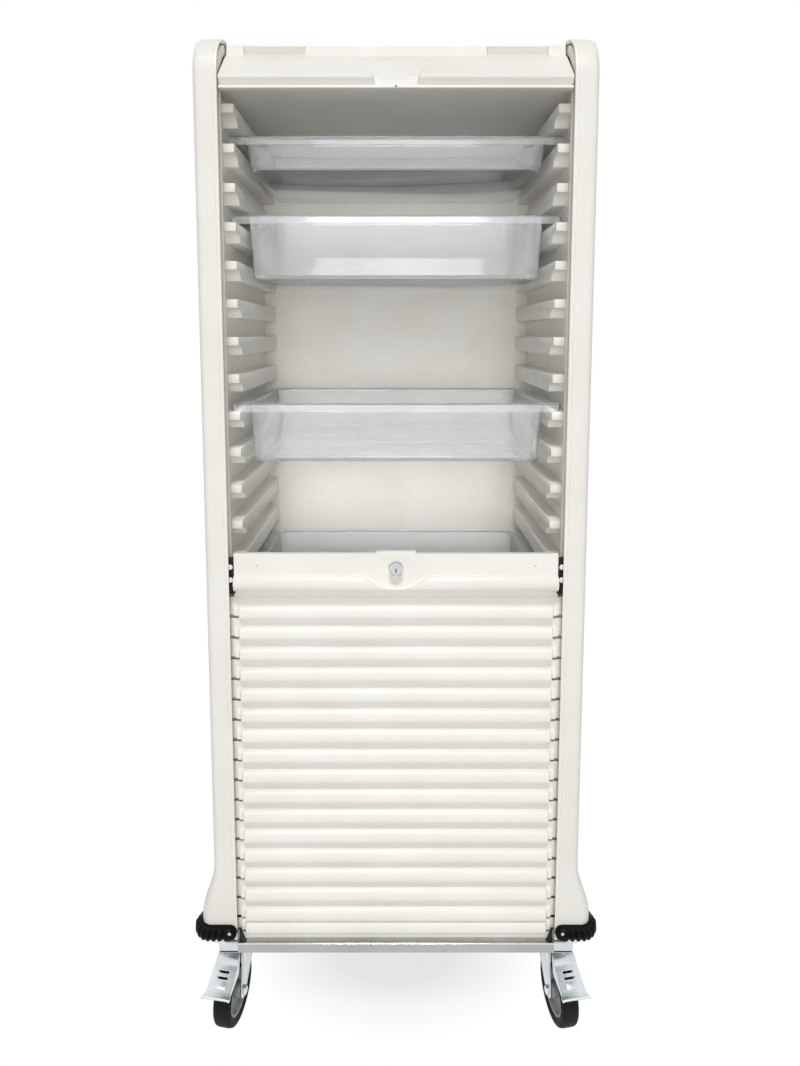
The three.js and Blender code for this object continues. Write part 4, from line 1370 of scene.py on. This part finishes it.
@dataclass
class Castors(SubAssembly):
    """Braked swivel castors, drawn about the swivel with the wheel and the pedal along +X."""

    swivel_x: float = 327.0
    swivel_y: float = 141.0
    yaw: float = 10.0
    trail: float = 37.0
    wheel_radius: float = 62.5
    wheel_width: float = 36.0
    tyre_inner: float = 46.0
    hub_half: float = 19.5
    axle_seat: float = 24.3
    bore: float = 6.3
    fork_rounding: float = 1.0
    plate_rounding: float = 1.2
    plate_bottom: float = 174.0
    bolt_x: float = 29.0
    bolt_y: float = 40.0
    bolt_head: tuple[Point2, ...] = ((0.0, 0.0), (7.0, 0.0), (7.0, 4.4), (6.0, 5.4), (0.0, 5.4))
    pedal_thickness: float = 3.0
    pedal_soft: float = 0.8
    pedal_crown: float = 0.4
    pedal_slope: float = 27.3
    slots: tuple[Point2, ...] = ((77.5, 136.2), (86.5, 131.5))
    slot_size: Point2 = (4.2, 22.0)
    slot_cut: float = 12.0
    pad_spot: Point2 = (97.5, 125.8)
    pad_size: Point2 = (13.0, 22.0)
    pad_height: float = 3.4
    pad_rounding: float = 0.8
    block_corner: float = 1.5
    pedal_path: tuple[tuple[float, float, float, float], ...] = (
        (22.0, 152.6, 17.5, 3.0), (38.0, 152.8, 17.5, 3.0), (44.0, 153.0, 20.5, 3.0),
        (48.0, 152.9, 21.6, 8.0), (56.0, 151.6, 22.5, 26.0), (60.0, 149.0, 22.5, 31.0),
        (64.0, 143.8, 22.8, 27.0), (67.0, 141.2, 23.0, 24.6), (72.0, 139.0, 23.2, 22.5),
        (80.0, 134.9, 23.6, 19.0), (96.0, 126.6, 24.4, 11.6), (105.0, 121.9, 25.0, 7.0),
        (110.0, 119.6, 26.0, 4.0), (114.0, 118.8, 27.6, 3.0), (118.0, 119.6, 28.4, 3.0),
        (121.0, 121.8, 28.6, 3.0), (122.4, 124.4, 28.4, 3.0),
    )
    cheek: float = 2.2
    leg_face: float = 24.0
    rib_gap: float = 0.1
    rib_path: tuple[tuple[float, float, float, float], ...] = (
        (8.0, 163.0, 27.0, 5.0), (10.0, 150.0, 25.0, 6.0), (18.0, 125.0, 19.5, 5.5),
        (27.0, 98.0, 13.0, 4.0), (33.0, 80.0, 9.0, 1.0),
    )

    def place(self, sx: int, sy: int) -> Matrix:
        """Give a castor's own axes.

        Args:
            sx: 1 on the right, -1 on the left.
            sy: 1 at the rear, -1 at the front.

        Returns:
            The matrix from castor to cabinet, in metres.
        """
        yaw = math.radians(self.yaw)
        turn = math.atan2(sy * math.cos(yaw), sx * math.sin(yaw))
        spot = Matrix.Translation((sx * self.swivel_x * MM, sy * self.swivel_y * MM, 0))
        return spot @ Matrix.Rotation(turn, 4, "Z")

    def tyre_profile(self) -> list[Point2]:
        """Outline the tread from the side.

        Returns:
            Radius and distance along the axle of each corner.
        """
        half, radius = self.wheel_width / 2, self.wheel_radius
        crown = [
            (radius - 7.0, half), (radius - 3.6, half - 1.0), (radius - 1.4, half - 3.0),
            (radius - 0.3, half - 6.5), (radius, half - 10.0),
        ]
        side = [(self.tyre_inner, half - 3.0), (self.tyre_inner + 4.0, half - 0.8), *crown]
        return mirrored(side)

    def rim_profile(self) -> list[Point2]:
        """Outline the rim from the side: hub, dished web and flange.

        Returns:
            Radius and distance along the axle of each corner.
        """
        bore, hub = self.bore, self.hub_half
        outer, half = self.tyre_inner - 0.3, self.wheel_width / 2 - 3.5
        side = [
            (bore, hub), (bore + 6.5, hub), (bore + 8.5, hub - 3.0), (bore + 9.0, 7.5), (outer - 14.0, 6.0),
            (outer - 7.0, 8.0), (outer - 5.0, half - 0.8), (outer - 3.5, half), (outer, half),
        ]
        return mirrored(side)

    def axle_profile(self) -> list[Point2]:
        """Outline the axle bolt from the side.

        Returns:
            Radius and distance along the axle of each corner.
        """
        seat = self.axle_seat
        head = [(6.0, seat), (9.0, seat), (9.0, seat + 3.3), (7.8, seat + 4.7), (0.0, seat + 5.0)]
        return mirrored([(r, -a) for r, a in reversed(head)])

    def build(self) -> None:
        """Build every castor."""
        for end, sy in (("front", -1), ("rear", 1)):
            for hand, sx in (("left", -1), ("right", 1)):
                self.build_castor(f"castor_{end}_{hand}", self.place(sx, sy))

    def build_castor(self, name: str, place: Matrix) -> None:
        """Build one castor.

        Args:
            name: Its name.
            place: Its own axes, in metres.
        """
        axle = place @ Matrix.Translation((self.trail * MM, 0, self.wheel_radius * MM))
        turned_pieces = (
            ("tyre", self.tyre_profile(), 72, f"{name}_wheel", TYRE_RUBBER),
            ("rim", self.rim_profile(), 56, f"{name}_wheel", RIM_NYLON),
            ("axle", self.axle_profile(), 6, f"{name}_swivel", ZINC_PLATE),
        )
        for part, profile, segments, body, finish in turned_pieces:
            piece = settle(turned(f"{name}_{part}_turned", profile, axle, segments))
            self.dress(piece, body, finish, f"{name}_{part}")
        fork = self.skin(f"{name}_fork", self.fork_rounding)
        self.dress(fork, f"{name}_swivel", ZINC_PLATE, f"{name}_fork")
        plate = self.skin(f"{name}_plate", self.plate_rounding)
        self.dress(plate, "cabinet", ZINC_PLATE, f"{name}_plate")
        for hand, side in HANDS:
            self.build_rib(name, place, hand, side)
        self.build_bolts(name, place)
        self.build_pedal(name, place)

    def build_rib(self, name: str, place: Matrix, hand: str, side: int) -> None:
        """Press a half-round rib out of one leg of the fork.

        Args:
            name: The castor.
            place: Its own axes, in metres.
            hand: Leg that carries the rib.
            side: 1 or -1 along the axle.
        """
        bow = arc((0.0, 0.0), 1.0, 0, 180, 12)
        seat = self.leg_face + self.rib_gap
        rings = [
            [(along + half * u, side * (seat + proud * v), height) for u, v in bow]
            for along, height, half, proud in self.rib_path
        ]
        rib = settle(loft(f"{name}_fork_rib_{hand}", rings))
        rib.data.transform(place)
        self.dress(rib, f"{name}_swivel", ZINC_PLATE)

    def build_bolts(self, name: str, place: Matrix) -> None:
        """Hang a hexagon bolt head under each corner of the top plate.

        Args:
            name: The castor.
            place: Its own axes, in metres.
        """
        centre = place.to_translation()
        down = Matrix.Rotation(-math.pi / 2, 4, "X")
        for number, (u, v) in enumerate(((1, 1), (-1, 1), (-1, -1), (1, -1))):
            spot = centre + Vector((u * self.bolt_x, v * self.bolt_y, self.plate_bottom)) * MM
            bolt = turned(f"{name}_bolt_{number + 1}", self.bolt_head, Matrix.Translation(spot) @ down, 6)
            self.dress(settle(bolt), "cabinet", ZINC_PLATE)

    def pedal_section(self, along: float, height: float, lean: float, half: float, deep: float) -> Ring:
        """Outline the pressed pedal across its length: a plate with soft edges between two cheeks.

        Args:
            along: Distance from the swivel.
            height: Height of its upper side.
            lean: Tilt of the section, in radians.
            half: Half its width.
            deep: How far the cheeks hang below the upper side.

        Returns:
            The closed section.
        """
        thick, soft, inner = self.pedal_thickness, self.pedal_soft, half - self.cheek
        right = [(inner, -thick), (half, -soft), (half - soft, 0.0), (half / 2, self.pedal_crown)]
        across, up = math.sin(lean), math.cos(lean)
        plate = [(along - v * across, u, height + v * up) for u, v in right]
        hem = [(along + thick * across, u, height - max(deep, thick * up)) for u in (inner, half)]
        side = [plate[0], *hem, *plate[1:]]
        return [*side, *[(x, -y, z) for x, y, z in reversed(side)]]

    def build_pedal(self, name: str, place: Matrix) -> None:
        """Press the pedal: a tongue in the fork, a broad bent channel, two slots and a raised pad.

        Args:
            name: The castor.
            place: Its own axes, in metres.
        """
        path = self.pedal_path
        rings = []
        for i, (along, height, half, deep) in enumerate(path):
            (x0, z0), (x1, z1) = path[max(0, i - 1)][:2], path[min(len(path) - 1, i + 1)][:2]
            rings.append(self.pedal_section(along, height, math.atan2(z1 - z0, x1 - x0), half, deep))
        pedal = settle(loft(f"{name}_pedal_pressed", rings))
        for along, height in self.slots:
            carve(pedal, self.slanted_block("slot", along, height, self.slot_size, self.slot_cut))
        pedal.data.transform(place)
        self.dress(pedal, f"{name}_pedal", ZINC_PLATE, f"{name}_pedal")
        pad = self.slanted_block(f"{name}_pedal_pad", *self.pad_spot, self.pad_size, self.pad_height)
        settle(pad, round_mm=self.pad_rounding)
        pad.data.transform(place)
        self.dress(pad, f"{name}_pedal", ZINC_PLATE)

    def slanted_block(
        self, name: str, along: float, height: float, size: Point2, thick: float
    ) -> bpy.types.Object:
        """Make a block that lies along the pedal's slope.

        Args:
            name: Name of the block.
            along: Distance of its middle from the swivel.
            height: Height of its middle.
            size: Its length down the slope and its width.
            thick: Its thickness across the slope.

        Returns:
            The block, about the castor's own axes.
        """
        lean = Matrix.Rotation(math.radians(self.pedal_slope), 4, "Y")
        spot = Matrix.Translation(Vector((along, 0, height)) * MM)
        outline = rounded_rectangle(*size, self.block_corner, 3)
        rings = [[(x, y, z) for x, y in outline] for z in (-thick / 2, thick / 2)]
        block = loft(name, rings)
        block.data.transform(spot @ lean)
        return block


@dataclass
class Studio:
    """Floor, soft lights, white surroundings and the camera of the photograph."""

    focal_px: float = 720.8
    shift_x_px: float = 4.0
    shift_y_px: float = -123.8
    camera_y: float = -1522.3
    camera_z: float = 1391.7
    pitch: float = 5.911
    sensor: float = 36.0
    floor_half: float = 6000.0
    floor_colour: str = "D0D0CE"
    shade_spread: Point3 = (0.7, 1.0, 1.0)
    shade_reach: Point2 = (0.1, 0.23)
    shade_glow: float = 0.7
    ambient: float = 0.25
    aim_height: float = 0.95

    def build(self) -> None:
        """Set up everything round the object."""
        self.build_camera()
        self.build_floor()
        self.build_surroundings()
        self.softbox("key", (0.0, -8.0, 13.6), (2.4, 2.0), 1000.0, reflected=True)
        self.softbox("front", (0.0, -3.2, 1.4), (1.6, 1.0), 33.0)
        self.softbox("rear", (0.0, 5.0, 1.0), (2.4, 1.6), 90.0)
        bpy.context.scene.view_settings.view_transform = "Standard"

    def build_camera(self) -> None:
        """Place the camera as the photograph's perspective gives it."""
        data = bpy.data.cameras.new("photo_camera")
        data.sensor_width = self.sensor
        data.lens = self.focal_px / PHOTO_HEIGHT * self.sensor
        data.shift_x = self.shift_x_px / PHOTO_HEIGHT
        data.shift_y = self.shift_y_px / PHOTO_HEIGHT
        camera = add_object("photo_camera", data)
        camera.location = (0, self.camera_y * MM, self.camera_z * MM)
        camera.rotation_euler = (math.radians(90 - self.pitch), 0, 0)
        bpy.context.scene.camera = camera

    def build_floor(self) -> None:
        """Lay a pale floor that keeps the shadow near the wheels and fades to white further out."""
        half = self.floor_half
        corners = [(-half, -half, 0.0), (half, -half, 0.0), (half, half, 0.0), (-half, half, 0.0)]
        floor = mesh_piece("floor", corners, [(0, 1, 2, 3)])
        material = bpy.data.materials.new("matt_paper_white")
        material.use_nodes = True
        tree = material.node_tree
        shader = tree.nodes["Principled BSDF"]
        shader.inputs["Base Color"].default_value = linear(self.floor_colour)
        shader.inputs["Roughness"].default_value = 0.9
        shader.inputs["Specular IOR Level"].default_value = 0.1
        glow = add_node(tree, "ShaderNodeEmission", {"Strength": 1.0})
        path = add_node(tree, "ShaderNodeLightPath")
        place = add_node(tree, "ShaderNodeTexCoord").outputs["Object"]
        flat = add_node(tree, "ShaderNodeMapping", {"Scale": self.shade_spread}, {"Vector": place})
        away = add_node(
            tree, "ShaderNodeVectorMath", links={0: flat.outputs["Vector"]}, operation="LENGTH"
        )
        near, far = self.shade_reach
        fade = add_node(
            tree,
            "ShaderNodeMapRange",
            {"From Min": near, "From Max": far, "To Min": self.shade_glow, "To Max": 1.0},
            {"Value": away.outputs["Value"]},
        )
        seen = combine(tree, "MAXIMUM", path.outputs["Is Camera Ray"], path.outputs["Is Glossy Ray"])
        mix_surfaces(tree, combine(tree, "MULTIPLY", seen, fade.outputs["Result"]), glow)
        floor.data.materials.append(material)

    def build_surroundings(self) -> None:
        """Fill the room with even light, and show it white to the eye and in reflections."""
        world = bpy.data.worlds.new("white_studio")
        bpy.context.scene.world = world
        world.use_nodes = True
        tree = world.node_tree
        path = add_node(tree, "ShaderNodeLightPath")
        looked = combine(
            tree, "MAXIMUM", path.outputs["Is Camera Ray"], path.outputs["Is Transmission Ray"]
        )
        seen = combine(tree, "MAXIMUM", looked, path.outputs["Is Glossy Ray"])
        level = add_node(
            tree, "ShaderNodeMapRange", {"To Min": self.ambient, "To Max": 1.0}, {"Value": seen}
        )
        tree.links.new(level.outputs["Result"], tree.nodes["Background"].inputs["Strength"])
        tree.nodes["Background"].inputs["Color"].default_value = (1.0, 1.0, 1.0, 1.0)

    def softbox(
        self, name: str, spot: Point3, size: Point2, watts: float, reflected: bool = False
    ) -> None:
        """Hang a large soft lamp that faces the cabinet.

        Args:
            name: Name of the lamp.
            spot: Its place, in metres.
            size: Its width and height, in metres.
            watts: Its power.
            reflected: Whether shiny surfaces show it.
        """
        data = bpy.data.lights.new(name, "AREA")
        data.shape = "RECTANGLE"
        data.size, data.size_y = size
        data.energy = watts
        lamp = add_object(name, data)
        lamp.location = spot
        lamp.visible_glossy = reflected
        aim = Vector((0.0, 0.0, self.aim_height)) - Vector(spot)
        lamp.rotation_euler = aim.to_track_quat("-Z", "Y").to_euler()


def main() -> None:
    """Build the cabinet's pieces in order, then the studio round them."""
    logging.basicConfig(level=logging.INFO, format="%(name)s: %(message)s")
    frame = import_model()
    groups = (SideShells, Interior, Headers, LeadBar, Curtain, Trays, Base, Bumpers, Castors)
    for group in groups:
        LOG.info("building %s", group.__name__)
        group(frame).build()
    Studio().build()
    bpy.context.view_layer.update()


if __name__ == "__main__":
    main()
